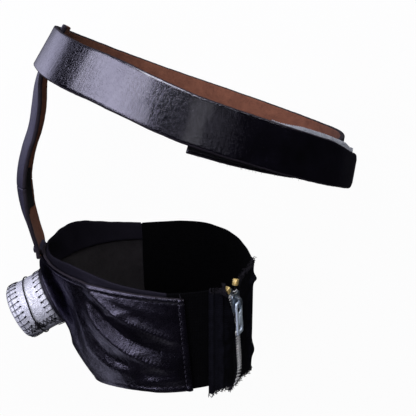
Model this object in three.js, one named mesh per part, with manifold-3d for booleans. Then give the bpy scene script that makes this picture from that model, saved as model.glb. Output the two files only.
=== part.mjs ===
// A leather mouth mask: a folded leather cup with a stitched silver drum, a zipped neck band,
// a strap up the nose and a strap round the head. It lies on its right side, as it does when loose.
// The worn frame, in mm, has +X to the wearer's back, +Y to the crown and +Z to the wearer's left.
// The whole is then moved so that it rests on Z = 0, with its origin under its middle.
import * as THREE from "three";
import { mergeVertices } from "three/addons/utils/BufferGeometryUtils.js";
import Module from "manifold-3d";

const wasm = await Module();
wasm.setup();

// Place of the worn frame's origin, and the worn height of the surface it lies on
const PLACE = new THREE.Vector3(20.1, 0.22, 66);
const FLOOR = -66;

// Between pieces that touch
const GAP = 0.35;

// Head strap, as a loop seen square to its slope
const STRAP_WIDTH = 22;
const STRAP_THICK = 2.4;
const END_RADIUS = 4.5; // of the outer end's corners
const END_TAPER = 1.8; // the outer end narrows by this at each edge
const END_TAPER_LENGTH = 34;
const BAND_SLOPE = 18.7; // degrees, down towards the back
const BAND_MIDDLE = -22.6;
const BAND_HALF_LENGTH = 87;
const BAND_HALF_NEAR = 71;
const BAND_HALF_FAR = 66;
const BAND_SQUARENESS = 2.2;
const LAP_GAP = 6; // between the centre lines of the two lapped ends
const INNER_END = -97; // degrees round the loop from its back
const LIFT = 302; // where the outer end leaves the loop
const FREE_LENGTH = 38.5;
const FREE_BEND = 0.5; // degrees for each mm of the free end
const FREE_STEPS = 8;
const FREE_ANGLE = 30; // the free end's share of the stations' angles
const BAND_ANGLE_STEP = 7;
const LAP_EASE = [-30, 70]; // the lapped end comes out to the loop between these angles
const STRAP_STEPS = 92;
const CORNER_STEPS = 6;
const PATCH_STEPS = 16;

// Height of the strap's middle above the slope's line, and its lean, at places round the loop
const BAND_STATIONS = [
  { angle: INNER_END, level: 48.5, lean: 12 },
  { angle: -45, level: 51.5, lean: 12 },
  { angle: 0, level: 56.5, lean: 10 },
  { angle: 90, level: 57, lean: 0 },
  { angle: 180, level: 60.6, lean: 14 },
  { angle: 225, level: 57, lean: 14 },
  { angle: 270, level: 52.4, lean: 13 },
  { angle: LIFT, level: 52, lean: 12 },
  { angle: LIFT + FREE_ANGLE, level: 50.2, lean: 12 },
];

// Closure patches
const PATCH_THICK = 1.2;
const PATCH_WIDTH = 19;
const PATCH_LENGTH = 64;
const PATCH_INSET = 3;

// Neck band and cup, one ring seen from the crown
const RING_MIDDLE = -22;
const RING_FRONT = 66;
const RING_BACK = 48;
const RING_NEAR = 55;
const RING_FAR = 66;
const RING_SQUARENESS = 2.5;
const RING_ANGLE_STEP = 5;
const LEATHER = 1.6;
const CUP_HALF = 96; // from the nose line to a rear seam, round the ring
const CUP_STEPS = 54;
const CUP_ROWS = 11;
const SEAM_SLANT = 4.5; // the seam is further back at the hem
const FACING_WIDTH = 11;
const FACING_THICK = 1.2;
const FACING_GAP = 1.6;
const FACING_STEPS = 44;
const FACING_PROUD = 1.5; // above the cup's edge
const FACING_SWELL = 3.5; // and more beside the nose
const FACING_SWELL_MIDDLE = 38;
const FACING_SWELL_SPREAD = 22;
const FACING_SHORT = 9; // of each rear seam

// Heights of the cup's two edges, and the run of its front line
const SIDE_TOP = -30.5;
const FRONT_TOP = -19.5;
const NOSE_PEAK = 1.5;
const NOSE_PEAK_REACH = 8;
const SIDE_HEM = -85;
const CHIN_HEM = -104;
const NOSE_FORWARD = 6.5;
const RAKE = 10;
const CHIN_CURL = 15;
const SEAM_FACING = 0.15; // the cup's front line has no effect where the ring faces forward less than this
const FRONT_POWER = 1.2;
const HEM_POWER = 1.5;
const TOP_POWER = 1.3;
const DRUM_SEAT = [2, 13]; // past the flange, the cup blends from flat to its own shape

// Soft folds on the cup's left side, each a curve through [distance round the ring, share of the height]
const FOLDS = [
  { from: [46, 0.99], bend: [56, 0.785], to: [90, 0.56], rise: 1.6 },
  { from: [50, 0.78], bend: [54, 0.54], to: [86, 0.42], rise: -1.4 },
  { from: [45, 0.78], bend: [46.5, 0.54], to: [84, 0.26], rise: 1.5 },
  { from: [41, 0.42], bend: [50.5, 0.11], to: [78, 0.3], rise: 1 },
];
const FOLD_SPREAD = 4.5;
const FOLD_SAMPLES = 16;
const CUP_HEIGHT = 58; // about, to compare distances up and round the cup

// Elastic panels and zip tapes
const ELASTIC_THICK = 1.2;
const ELASTIC_TOP = -28;
const ELASTIC_HEM = -85;
const SEAM_LAP = 8;
const TAPE_THICK = 0.9;
const TAPE_WIDTH = 16.5;
const TAPE_LAP = 6;
const TAPE_HEM = -89.5;
const NEAR_TAPE_TOP = -28.5;
const FAR_TAPE_TOP = -22;
const NEAR_TAPE_SWELL = 3; // both tops are cut unevenly
const NEAR_TAPE_FALL = 1.5;
const FAR_TAPE_FALL = 7;
const TAPE_HEM_RISE = 2.5; // away from the zip
const TAPE_PART = [-32.2, -29.2]; // heights between which the tapes part
const TAPE_GAP = 1.25; // from a row to the tape that holds it
const TAPE_CLEAR = 2.8; // the tapes part further beside the top stops
const CHAIN_DISTANCE = 128.5; // of the zip's line from the nose line, round the ring
const ZIP_TURN = 12; // degrees, the zip lies flatter than the ring behind it
const ZIP_OFFSET = -0.5;
const ZIP_LEAN = 0.12; // forward for each mm up
const ZIP_LEAN_HEIGHT = -62; // where the leaning line crosses the zip's place

// Zip chain, slider and pull
const PITCH = 1.75;
const TEETH = 33;
const TOOTH_HEIGHT = 0.62;
const TOOTH_REACH = 0.5; // past the zip's middle line
const ROW_HALF = 2.7;
const BEAD_WIDTH = 1.2;
const TAPE_REACH = ROW_HALF + TAPE_WIDTH - TAPE_LAP; // from the zip's line to an elastic panel
const BEAD_STEPS = 14;
const CHAIN_THICK = 2;
const TOOTH_THICK = 1.6;
const CHAIN_BOTTOM = -88;
const SLIDER_MIDDLE = -35.4;
const SLIDER_LENGTH = 10.5;
const SLIDER_TOP_WIDTH = 7.6;
const SLIDER_FOOT_WIDTH = 6.2;
const PLATE_THICK = 1;
const CHANNEL_HALF = 1.4;
const PARTING = 2.3; // each row's shift at the slider's top
const FOOT_BEND_HEIGHT = 9; // the chain bends forward below this
const FOOT_BEND = 0.06;
const TOP_SHIFT = 3.5; // and steps forward behind the pull
const TOP_SHIFT_LOW = -58;
const TOP_SHIFT_HIGH = -43;
const WEDGE_WIDTH = 1.2;
const WEDGE_LENGTH = 2;
const EYE_LOW = 0.15;
const PLATE_CORNER = 1.6;
const PLATE_NOTCH = 1.2; // in the middle of the plate's top edge
const WEDGE_DROP = 1.3;
const EYE_SHOULDER = 0.6; // of the eye's height
const STOP_MIDDLE = -26.7;
const PULL_AXIS = 3.7; // of the pull's bar, out from the zip's middle layer
const PULL_BAR = 1.1;
const PULL_SLOT_HALF = 1.5;
const PULL_SLOT_LENGTH = 6.4;
const PULL_SKEW = 0.6;
const PULL_CORNER = 0.9;
const PULL_WAIST = 0.4; // narrower at each side
const PULL_WAIST_DROP = 8;
const PULL_HOLE_HALF = 1.3;
const PULL_HOLE = [2, 5.4]; // from the tab's end
const BRIDGE_WIDTH = 2;
const BRIDGE_LENGTH = 7;
const BRIDGE_HEIGHT = 3.2;
const EYE_LENGTH = 3.6;
const EYE_HEIGHT = 2.2;
const PULL_WIDTH = 6;
const PULL_LENGTH = 20;
const PULL_THICK = 1.1;
const STOP_SIZE = new THREE.Vector3(2.6, 3.6, 2.8);
const STOP_TILT = 20;

// Strap from nose to forehead
const NOSE_STRAP_WIDTH = 24;
const NOSE_STRAP_THICK = 2.2;
const NOSE_STRAP_ARCH = 5;
const NOSE_STRAP_FLAT = 1.5;
const ARCH_RISE = [0.06, 0.3]; // shares of its length over which the arch comes and goes
const ARCH_FALL = [0.62, 0.85];
// Its crest from the cup's outside over the nose to the top of the head strap, [back, up]
const NOSE_STRAP_LINE = [
  [-98.4, -21.6], [-98.8, -15.5], [-101.4, -5.5], [-104.4, 6], [-105.5, 19], [-104.3, 28.5], [-100.7, 40],
  [-96.7, 50.5], [-93.8, 62], [-90.8, 74], [-87.5, 81.8], [-81.8, 90.9], [-73.9, 103.4],
];
const SPLICE_LEVEL = 19;
const SPLICE_PATCH = { low: 3, high: 27, width: 20, thick: 1.1, steps: 8 };
const LOWER_STEPS = 12;
const UPPER_STEPS = 20;

// Drum on the cup's front
const DRUM_FOOT = new THREE.Vector3(-90.5, -48.5, 0);
const DRUM_DROP = 24; // degrees below straight ahead
const DRUM_TURN = 5; // degrees towards the wearer's left
const DRUM_RADIUS = 16.7;
const DRUM_RIM_RADIUS = 16.3;
const DRUM_LENGTH = 18.5;
const DRUM_WALL = 1.8;
const FLANGE_RADIUS = 18;
const FLANGE_HOLE = 13;
const FLANGE_THICK = 2.4;
const FLANGE_BEVEL = 0.6;
const DISC_THICK = 1.6;
const DISC_EDGE = 0.9; // its thickness at the rim
const DISC_BEVEL = 1.2;
const DISC_CROWN = 0.4; // and in the middle, more
const CORD_RADIUS = 0.55;
const CORD_PLACE = 0.58; // of the drum's length from its foot
const CORD_TILT = -4;
const ROUND_SIDES = 32;

const { clamp, euclideanModulo, lerp, smoothstep, degToRad: radians } = THREE.MathUtils;
const UP = new THREE.Vector3(0, 1, 0);
const LEFT = new THREE.Vector3(0, 0, 1);
const PRESSED = { bevelEnabled: false, curveSegments: 4 };

// Colours from the piece itself
const materials = {
  leather: { color: 0x14121a, roughness: 0.38, metalness: 0 },
  flesh_side: { color: 0x5a372c, roughness: 0.9, metalness: 0 },
  elastic: { color: 0x08080a, roughness: 0.85, metalness: 0 },
  tape: { color: 0x0b0b0e, roughness: 0.95, metalness: 0 },
  silver_leather: { color: 0xc4c8d2, roughness: 0.32, metalness: 0.75 },
  teeth: { color: 0xc9cbcd, roughness: 0.3, metalness: 1 },
  die_cast: { color: 0x6d7d8c, roughness: 0.38, metalness: 0.9 },
  brass: { color: 0xc59a45, roughness: 0.3, metalness: 1 },
  cord: { color: 0x0c0b12, roughness: 0.6, metalness: 0 },
};

const worn = new THREE.Group();

function addPiece(name, geometry, finish) {
  const mesh = new THREE.Mesh(geometry, new THREE.MeshStandardMaterial(materials[finish]));
  mesh.name = name;
  worn.add(mesh);
  return mesh;
}

// A flat piece bent over a surface: u runs along it, v across it, its thickness stands on the normal.
function bentSheet(alongSteps, acrossSteps, thickness, pointAt) {
  const geometry = new THREE.BoxGeometry(1, 1, 1, alongSteps, acrossSteps, 1);
  const corner = geometry.attributes.position;
  const step = 1e-3;
  const along = new THREE.Vector3();
  const across = new THREE.Vector3();
  for (let i = 0; i < corner.count; i++) {
    const u = corner.getX(i) + 0.5;
    const v = corner.getY(i) + 0.5;
    const side = corner.getZ(i);
    const u0 = Math.max(0, u - step);
    const u1 = Math.min(1, u + step);
    const v0 = Math.max(0, v - step);
    const v1 = Math.min(1, v + step);
    along.subVectors(pointAt(u1, v), pointAt(u0, v));
    across.subVectors(pointAt(u, v1), pointAt(u, v0));
    const normal = along.cross(across).normalize();
    const place = pointAt(u, v).addScaledVector(normal, side * thickness);
    place.z = Math.max(place.z, FLOOR);
    corner.setXYZ(i, place.x, place.y, place.z);
  }
  geometry.computeVertexNormals();
  return geometry;
}

// Value of a station's field at an angle, eased between neighbours
function stationValue(angle, field) {
  const next = BAND_STATIONS.findIndex((station) => station.angle >= angle);
  if (next <= 0) return next === 0 ? BAND_STATIONS[0][field] : BAND_STATIONS.at(-1)[field];
  const from = BAND_STATIONS[next - 1];
  const to = BAND_STATIONS[next];
  const share = smoothstep(angle, from.angle, to.angle);
  return lerp(from[field], to[field], share);
}

// A place on a rounded rectangle-like oval with half sizes a and b
function ovalPoint(angle, a, b, squareness) {
  const c = Math.cos(radians(angle));
  const s = Math.sin(radians(angle));
  const power = 2 / squareness;
  return [a * Math.sign(c) * Math.abs(c) ** power, b * Math.sign(s) * Math.abs(s) ** power];
}

// Head strap

const slopeAlong = new THREE.Vector3(1, 0, 0).applyAxisAngle(LEFT, -radians(BAND_SLOPE));
const slopeUp = UP.clone().applyAxisAngle(LEFT, -radians(BAND_SLOPE));

function onSlope(along, level, lateral) {
  return new THREE.Vector3(0, 0, lateral).addScaledVector(slopeAlong, along).addScaledVector(slopeUp, level);
}

// The loop from its inner end round the back, the right side, the forehead and the left side to its free end
function bandPath() {
  const points = [];
  const angles = [];
  for (let angle = INNER_END; angle <= LIFT; angle += BAND_ANGLE_STEP) {
    const inset = LAP_GAP * (1 - smoothstep(angle, ...LAP_EASE));
    const half = Math.sin(radians(angle)) > 0 ? BAND_HALF_FAR : BAND_HALF_NEAR;
    const [along, lateral] = ovalPoint(angle, BAND_HALF_LENGTH - inset, half - inset, BAND_SQUARENESS);
    points.push(onSlope(BAND_MIDDLE + along, stationValue(angle, "level"), -lateral));
    angles.push(angle);
  }
  const last = points.at(-1);
  const run = last.clone().sub(points.at(-2)).normalize();
  let heading = Math.atan2(-run.z, run.dot(slopeAlong));
  let along = last.dot(slopeAlong);
  let lateral = last.z;
  const step = FREE_LENGTH / FREE_STEPS;
  for (let i = 1; i <= FREE_STEPS; i++) {
    heading += radians(FREE_BEND * step);
    along += step * Math.cos(heading);
    lateral -= step * Math.sin(heading);
    const angle = LIFT + (FREE_ANGLE * i) / FREE_STEPS;
    points.push(onSlope(along, stationValue(angle, "level"), lateral));
    angles.push(angle);
  }
  const curve = new THREE.CatmullRomCurve3(points);
  curve.arcLengthDivisions = 1200;
  return { curve, angles, length: curve.getLength() };
}

const band = bandPath();

// A place on the strap: distance along it, distance across it, and offset out of its middle layer
function onBand(distance, across, offset) {
  const share = clamp(distance / band.length, 0, 1);
  const place = band.curve.getPointAt(share);
  const tangent = band.curve.getTangentAt(share);
  const raw = band.curve.getUtoTmapping(share) * (band.angles.length - 1);
  const before = Math.min(Math.floor(raw), band.angles.length - 2);
  const angle = lerp(band.angles[before], band.angles[before + 1], raw - before);
  const upward = slopeUp.clone().addScaledVector(tangent, -slopeUp.dot(tangent)).normalize();
  upward.applyAxisAngle(tangent, -radians(stationValue(angle, "lean")));
  const outward = tangent.clone().cross(upward);
  return place.addScaledVector(upward, across).addScaledVector(outward, offset);
}

function addPatch(name, from, offset) {
  const geometry = bentSheet(PATCH_STEPS, 2, PATCH_THICK, (u, v) =>
    onBand(from + PATCH_LENGTH * u, (v - 0.5) * PATCH_WIDTH, offset),
  );
  addPiece(name, geometry, "tape");
}

// The strap's outer end has rounded corners, which take its last steps
function bandStrap() {
  const cornerShare = CORNER_STEPS / STRAP_STEPS;
  const geometry = bentSheet(STRAP_STEPS, 2, STRAP_THICK, (u, v) => {
    const corner = Math.max(0, (u - 1 + cornerShare) / cornerShare);
    const run = Math.min(u / (1 - cornerShare), 1) * (band.length - END_RADIUS);
    const distance = run + END_RADIUS * Math.sin((corner * Math.PI) / 2);
    const taper = END_TAPER * smoothstep(distance, band.length - END_TAPER_LENGTH, band.length);
    const half = STRAP_WIDTH / 2 - taper - END_RADIUS * (1 - Math.cos((corner * Math.PI) / 2));
    return onBand(distance, (2 * v - 1) * half, 0);
  });
  addPiece("headband_strap", geometry, "leather");
}

function addHeadStrap() {
  bandStrap();
  const patchOffset = (STRAP_THICK + PATCH_THICK) / 2 + GAP;
  addPatch("loop_patch", PATCH_INSET, patchOffset);
  addPatch("hook_patch", band.length - PATCH_INSET - PATCH_LENGTH, -patchOffset);
}

// Ring of the cup and neck band

function ringPlan() {
  const points = [];
  for (let angle = 0; angle < 360; angle += RING_ANGLE_STEP) {
    const half = angle < 180 ? RING_NEAR : RING_FAR;
    const atFront = angle < 90 || angle > 270;
    const squareness = atFront ? 2 : RING_SQUARENESS;
    const [along, lateral] = ovalPoint(angle, atFront ? RING_FRONT : RING_BACK, half, squareness);
    points.push(new THREE.Vector3(RING_MIDDLE - along, 0, Math.max(lateral, FLOOR + LEATHER / 2)));
  }
  const curve = new THREE.CatmullRomCurve3(points, true);
  curve.arcLengthDivisions = 1200;
  return { curve, length: curve.getLength() };
}

const ring = ringPlan();

// Place and outward direction at a distance round the ring from the nose line, left side positive
function onRing(distance) {
  const share = euclideanModulo(distance / ring.length, 1);
  const place = ring.curve.getPointAt(share);
  const tangent = ring.curve.getTangentAt(share);
  return { place, tangent, outward: new THREE.Vector3(-tangent.z, 0, tangent.x) };
}

const drumAxis = new THREE.Vector3(-1, 0, 0)
  .applyAxisAngle(LEFT, radians(DRUM_DROP))
  .applyAxisAngle(UP, radians(DRUM_TURN));

function cupTop(distance) {
  const share = (Math.abs(distance) / CUP_HALF) ** TOP_POWER;
  const peak = NOSE_PEAK * Math.exp(-((distance / NOSE_PEAK_REACH) ** 2));
  return lerp(FRONT_TOP, SIDE_TOP, share) + peak;
}

function cupHem(frontness) {
  return lerp(SIDE_HEM, CHIN_HEM, frontness ** HEM_POWER);
}

// How far the folds lift the leather
function foldRise(distance, v) {
  let rise = 0;
  for (const fold of FOLDS) {
    let most = 0;
    for (let i = 0; i <= FOLD_SAMPLES; i++) {
      const t = i / FOLD_SAMPLES;
      const [along, up] = [0, 1].map(
        (k) => (1 - t) ** 2 * fold.from[k] + 2 * t * (1 - t) * fold.bend[k] + t ** 2 * fold.to[k],
      );
      const away = Math.hypot(distance - along, (v - up) * CUP_HEIGHT) / FOLD_SPREAD;
      most = Math.max(most, Math.exp(-(away ** 2)) * Math.sqrt(Math.sin(Math.PI * t)));
    }
    rise += fold.rise * most;
  }
  return rise;
}

// The middle layer of the cup's leather: v runs from the hem, 0, to the top edge, 1
function onCup(distance, v, offset) {
  const { place, outward } = onRing(distance * (1 + (SEAM_SLANT / CUP_HALF) * (1 - v)));
  const frontness = Math.max(0, (-outward.x - SEAM_FACING) / (1 - SEAM_FACING)) ** FRONT_POWER;
  const hem = cupHem(frontness);
  const height = lerp(hem, cupTop(distance), v);
  const profile = NOSE_FORWARD - RAKE * (1 - v) - CHIN_CURL * (1 - v) ** 3;
  place.addScaledVector(outward, frontness * profile + foldRise(distance, v) + offset);
  place.y = height;
  return restOnDrumFoot(place, offset);
}

// The cup lies flat where the drum is sewn on
function restOnDrumFoot(place, offset) {
  const away = place.clone().sub(DRUM_FOOT);
  const depth = away.dot(drumAxis);
  const radius = away.addScaledVector(drumAxis, -depth).length();
  const pull = 1 - smoothstep(radius - FLANGE_RADIUS, ...DRUM_SEAT);
  return place.addScaledVector(drumAxis, pull * (offset - LEATHER / 2 - GAP - depth));
}

function addCup() {
  const body = bentSheet(CUP_STEPS, CUP_ROWS, LEATHER, (u, v) => onCup((2 * u - 1) * CUP_HALF, v, 0));
  addPiece("mask_body", body, "leather");
  const inside = -(LEATHER + FACING_THICK) / 2 - FACING_GAP;
  const facing = bentSheet(FACING_STEPS, 3, FACING_THICK, (u, v) => {
    const distance = (2 * u - 1) * (CUP_HALF - FACING_SHORT);
    const height = cupTop(distance) - SIDE_HEM;
    const beside = (Math.abs(distance) - FACING_SWELL_MIDDLE) / FACING_SWELL_SPREAD;
    const proud = FACING_PROUD + FACING_SWELL * Math.exp(-(beside ** 2));
    return onCup(distance, lerp(1 - FACING_WIDTH / height, 1 + proud / height, v), inside);
  });
  addPiece("top_facing", facing, "tape");
}

// A flat elastic panel round the ring; an end under the cup runs parallel to the cup's seam
function elasticPanel(name, from, to, steps) {
  const inside = -(LEATHER + ELASTIC_THICK) / 2 - GAP;
  const geometry = bentSheet(steps, 2, ELASTIC_THICK, (u, v) => {
    const slant = SEAM_SLANT * (1 - v);
    const start = from < CUP_HALF ? from + slant : from;
    const end = ring.length - to < CUP_HALF ? to - slant : to;
    const { place, outward } = onRing(lerp(start, end, u));
    place.addScaledVector(outward, inside);
    place.y = lerp(ELASTIC_HEM, ELASTIC_TOP, v);
    return place;
  });
  addPiece(name, geometry, "elastic");
}

function addElastic() {
  elasticPanel("elastic_left", CUP_HALF - SEAM_LAP, CHAIN_DISTANCE - TAPE_REACH, 8);
  elasticPanel("elastic_right", CHAIN_DISTANCE + TAPE_REACH, ring.length - CUP_HALF + SEAM_LAP, 28);
}

// Zip

const zip = onRing(CHAIN_DISTANCE);
const zipAcross = zip.tangent.clone().applyAxisAngle(UP, radians(ZIP_TURN));
const zipOutward = zip.outward.clone().applyAxisAngle(UP, radians(ZIP_TURN));
zip.place.addScaledVector(zipOutward, ZIP_OFFSET);

// A place on the zip: across it towards the back, up it in worn height, and out from its middle layer
function onZip(across, height, out) {
  const place = zip.place.clone().addScaledVector(zipAcross, across).addScaledVector(zipOutward, out);
  place.y = height;
  return place;
}

function mapOntoZip(geometry, shift) {
  const corner = geometry.attributes.position;
  for (let i = 0; i < corner.count; i++) {
    const height = corner.getY(i);
    const place = onZip(corner.getX(i) + shift(height), height, corner.getZ(i));
    corner.setXYZ(i, place.x, place.y, place.z);
  }
  geometry.computeVertexNormals();
  return geometry;
}

// The zip's middle line, across the zip at a height: it leans, and bends forward at its two ends
function zipLine(height) {
  const above = smoothstep(height, TOP_SHIFT_LOW, TOP_SHIFT_HIGH);
  const below = Math.max(0, CHAIN_BOTTOM + FOOT_BEND_HEIGHT - height);
  return ZIP_LEAN * (ZIP_LEAN_HEIGHT - height) - TOP_SHIFT * above - FOOT_BEND * below ** 2;
}

// Where a row's own line is: the two rows part above the slider's middle
function rowShift(side, height) {
  const top = SLIDER_MIDDLE + SLIDER_LENGTH / 2;
  return zipLine(height) + side * PARTING * smoothstep(height, SLIDER_MIDDLE - 2, top);
}

// A rigid part set on the zip's line at a height, leaning as the line does there
function setOnZip(geometry, height) {
  const lean = Math.atan(zipLine(height - 0.5) - zipLine(height + 0.5));
  geometry.rotateZ(lean).translate(0, height, 0);
  return mapOntoZip(geometry, () => zipLine(height));
}

function solidOf(geometry) {
  const bare = new THREE.BufferGeometry();
  bare.setAttribute("position", geometry.attributes.position.clone());
  if (geometry.index) bare.setIndex(geometry.index.clone());
  const merged = mergeVertices(bare, 1e-4);
  return new wasm.Manifold(
    new wasm.Mesh({
      numProp: 3,
      vertProperties: merged.attributes.position.array,
      triVerts: new Uint32Array(merged.index.array),
    }),
  );
}

function geometryOf(solid) {
  const { vertProperties, triVerts } = solid.getMesh();
  const geometry = new THREE.BufferGeometry();
  geometry.setAttribute("position", new THREE.BufferAttribute(vertProperties, 3));
  geometry.setIndex(new THREE.BufferAttribute(triVerts, 1));
  const flat = geometry.toNonIndexed();
  flat.computeVertexNormals();
  return flat;
}

// One row: its bead runs along the tape's edge, and its teeth reach from the bead over the zip's line
function teethRow(side) {
  const start = CHAIN_BOTTOM + (side > 0 ? PITCH / 2 : 0);
  const length = TEETH * PITCH;
  const shift = (height) => rowShift(side, height);
  const bead = new THREE.BoxGeometry(BEAD_WIDTH, length, CHAIN_THICK, 1, BEAD_STEPS, 1);
  bead.translate(side * (ROW_HALF - BEAD_WIDTH / 2), start + length / 2, 0);
  let row = solidOf(mapOntoZip(bead, shift));
  const reach = ROW_HALF - BEAD_WIDTH / 2 + TOOTH_REACH;
  for (let i = 0; i < TEETH; i++) {
    const tooth = new THREE.BoxGeometry(reach, TOOTH_HEIGHT, TOOTH_THICK);
    tooth.translate(side * (reach / 2 - TOOTH_REACH), start + (i + 0.5) * PITCH, 0);
    row = row.add(solidOf(mapOntoZip(tooth, shift)));
  }
  return geometryOf(row);
}

// The slider: two plates joined by the wedge that parts the rows, with a bridge on the outer plate
function sliderSolid() {
  const half = SLIDER_LENGTH / 2;
  const foot = SLIDER_FOOT_WIDTH / 2;
  const side = SLIDER_TOP_WIDTH / 2;
  const plate = new THREE.Shape();
  plate.moveTo(-foot, -half);
  plate.lineTo(foot, -half);
  plate.quadraticCurveTo(side, 0, side, half - PLATE_CORNER);
  plate.quadraticCurveTo(side, half, side - PLATE_CORNER, half);
  plate.quadraticCurveTo(0, half - PLATE_NOTCH, PLATE_CORNER - side, half);
  plate.quadraticCurveTo(-side, half, -side, half - PLATE_CORNER);
  plate.quadraticCurveTo(-side, 0, -foot, -half);
  const slab = new THREE.ExtrudeGeometry(plate, { ...PRESSED, depth: PLATE_THICK });
  const outer = slab.clone().translate(0, 0, CHANNEL_HALF);
  const inner = slab.clone().translate(0, 0, -CHANNEL_HALF - PLATE_THICK);
  const wedge = new THREE.BoxGeometry(WEDGE_WIDTH, WEDGE_LENGTH, 2 * CHANNEL_HALF + PLATE_THICK);
  wedge.translate(0, half - WEDGE_DROP - WEDGE_LENGTH / 2, 0);
  const arch = new THREE.Shape();
  arch.moveTo(-BRIDGE_LENGTH / 2, -PLATE_THICK / 2);
  arch.lineTo(BRIDGE_LENGTH / 2, -PLATE_THICK / 2);
  arch.quadraticCurveTo(BRIDGE_LENGTH / 2, BRIDGE_HEIGHT, 0, BRIDGE_HEIGHT);
  arch.quadraticCurveTo(-BRIDGE_LENGTH / 2, BRIDGE_HEIGHT, -BRIDGE_LENGTH / 2, -PLATE_THICK / 2);
  const eye = new THREE.Path();
  const eyeTop = EYE_LOW + EYE_HEIGHT;
  const shoulder = EYE_LOW + EYE_HEIGHT * EYE_SHOULDER;
  eye.moveTo(-EYE_LENGTH / 2, EYE_LOW);
  eye.lineTo(EYE_LENGTH / 2, EYE_LOW);
  eye.lineTo(EYE_LENGTH / 2, shoulder);
  eye.quadraticCurveTo(EYE_LENGTH / 2, eyeTop, 0, eyeTop);
  eye.quadraticCurveTo(-EYE_LENGTH / 2, eyeTop, -EYE_LENGTH / 2, shoulder);
  arch.holes.push(eye);
  const bridge = new THREE.ExtrudeGeometry(arch, { ...PRESSED, depth: BRIDGE_WIDTH });
  bridge.translate(0, 0, -BRIDGE_WIDTH / 2).rotateX(Math.PI / 2).rotateZ(Math.PI / 2);
  bridge.translate(0, 0, CHANNEL_HALF + PLATE_THICK);
  return [inner, wedge, bridge].reduce((whole, piece) => whole.add(solidOf(piece)), solidOf(outer));
}

// The pull: a tab with a slot round the bridge, a waist and an oblong hole near its end
function pullGeometry() {
  const half = PULL_WIDTH / 2;
  const bar = PULL_BAR / 2;
  const end = bar - PULL_LENGTH;
  const tab = new THREE.Shape();
  tab.moveTo(PULL_CORNER - half, bar);
  tab.quadraticCurveTo(-half, bar, -half, bar - PULL_CORNER);
  tab.lineTo(PULL_WAIST - half, -PULL_WAIST_DROP);
  tab.lineTo(-half, end + PULL_CORNER);
  tab.lineTo(PULL_CORNER - half, end);
  tab.lineTo(half - PULL_SKEW, end - PULL_SKEW);
  tab.lineTo(half, end + PULL_CORNER);
  tab.lineTo(half - PULL_WAIST, -PULL_WAIST_DROP);
  tab.lineTo(half, bar - PULL_CORNER);
  tab.quadraticCurveTo(half, bar, half - PULL_CORNER, bar);
  const window = (side, low, high) => {
    const hole = new THREE.Path();
    hole.moveTo(-side, low);
    hole.lineTo(side, low);
    hole.lineTo(side, high);
    hole.lineTo(-side, high);
    tab.holes.push(hole);
  };
  window(PULL_SLOT_HALF, -PULL_SLOT_LENGTH, -bar);
  window(PULL_HOLE_HALF, end + PULL_HOLE[0], end + PULL_HOLE[1]);
  const geometry = new THREE.ExtrudeGeometry(tab, { ...PRESSED, depth: PULL_THICK });
  return geometry.translate(0, 0, -PULL_THICK / 2);
}

// A tape: from its edge along the row, u = 1, where it lies with the zip, out to where it follows the ring
function addTape(name, side, topAt) {
  const edge = ROW_HALF + TAPE_GAP;
  const geometry = bentSheet(6, 14, TAPE_THICK, (u, v) => {
    const share = side < 0 ? u : 1 - u;
    const height = lerp(TAPE_HEM + TAPE_HEM_RISE * (1 - share), topAt(share), v);
    const aboveSlider = smoothstep(height, ...TAPE_PART);
    const across = side * (edge + TAPE_WIDTH * (1 - share) + TAPE_CLEAR * aboveSlider * share);
    const withZip = onZip(across + rowShift(side, height) * share, height, 0);
    const { place, outward } = onRing(CHAIN_DISTANCE + across);
    place.addScaledVector(outward, ZIP_OFFSET);
    place.y = height;
    return place.lerp(withZip, smoothstep(share, 0.4, 1));
  });
  addPiece(name, geometry, "tape");
}

function addZip() {
  addTape("zipper_tape_left", -1, (u) => NEAR_TAPE_TOP + NEAR_TAPE_SWELL * Math.sin(Math.PI * u) - NEAR_TAPE_FALL * u);
  addTape("zipper_tape_right", 1, (u) => FAR_TAPE_TOP - FAR_TAPE_FALL * u ** 2);
  addPiece("teeth_left", teethRow(-1), "teeth");
  addPiece("teeth_right", teethRow(1), "teeth");
  addPiece("zipper_slider", setOnZip(geometryOf(sliderSolid()), SLIDER_MIDDLE), "die_cast");
  const pull = pullGeometry().translate(0, 0, PULL_AXIS);
  addPiece("zipper_pull", setOnZip(pull, SLIDER_MIDDLE), "die_cast");
  for (const [name, side] of [["top_stop_left", -1], ["top_stop_right", 1]]) {
    const stop = new THREE.BoxGeometry(STOP_SIZE.x, STOP_SIZE.y, STOP_SIZE.z);
    stop.rotateZ(-side * radians(STOP_TILT));
    stop.translate(side * (PARTING + ROW_HALF - BEAD_WIDTH / 2), 0, 0);
    addPiece(name, setOnZip(stop, STOP_MIDDLE), "brass");
  }
}

// Strap from nose to forehead

const noseStrap = new THREE.CatmullRomCurve3(
  NOSE_STRAP_LINE.map(([along, height]) => new THREE.Vector3(along, height, 0)),
);
noseStrap.arcLengthDivisions = 600;
const noseStrapLength = noseStrap.getLength();

// Distance up the strap at which its crest reaches a height
function noseStrapAt(height) {
  let low = 0;
  let high = 1;
  for (let i = 0; i < 30; i++) {
    const middle = (low + high) / 2;
    if (noseStrap.getPointAt(middle).y < height) low = middle;
    else high = middle;
  }
  return low * noseStrapLength;
}

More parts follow.
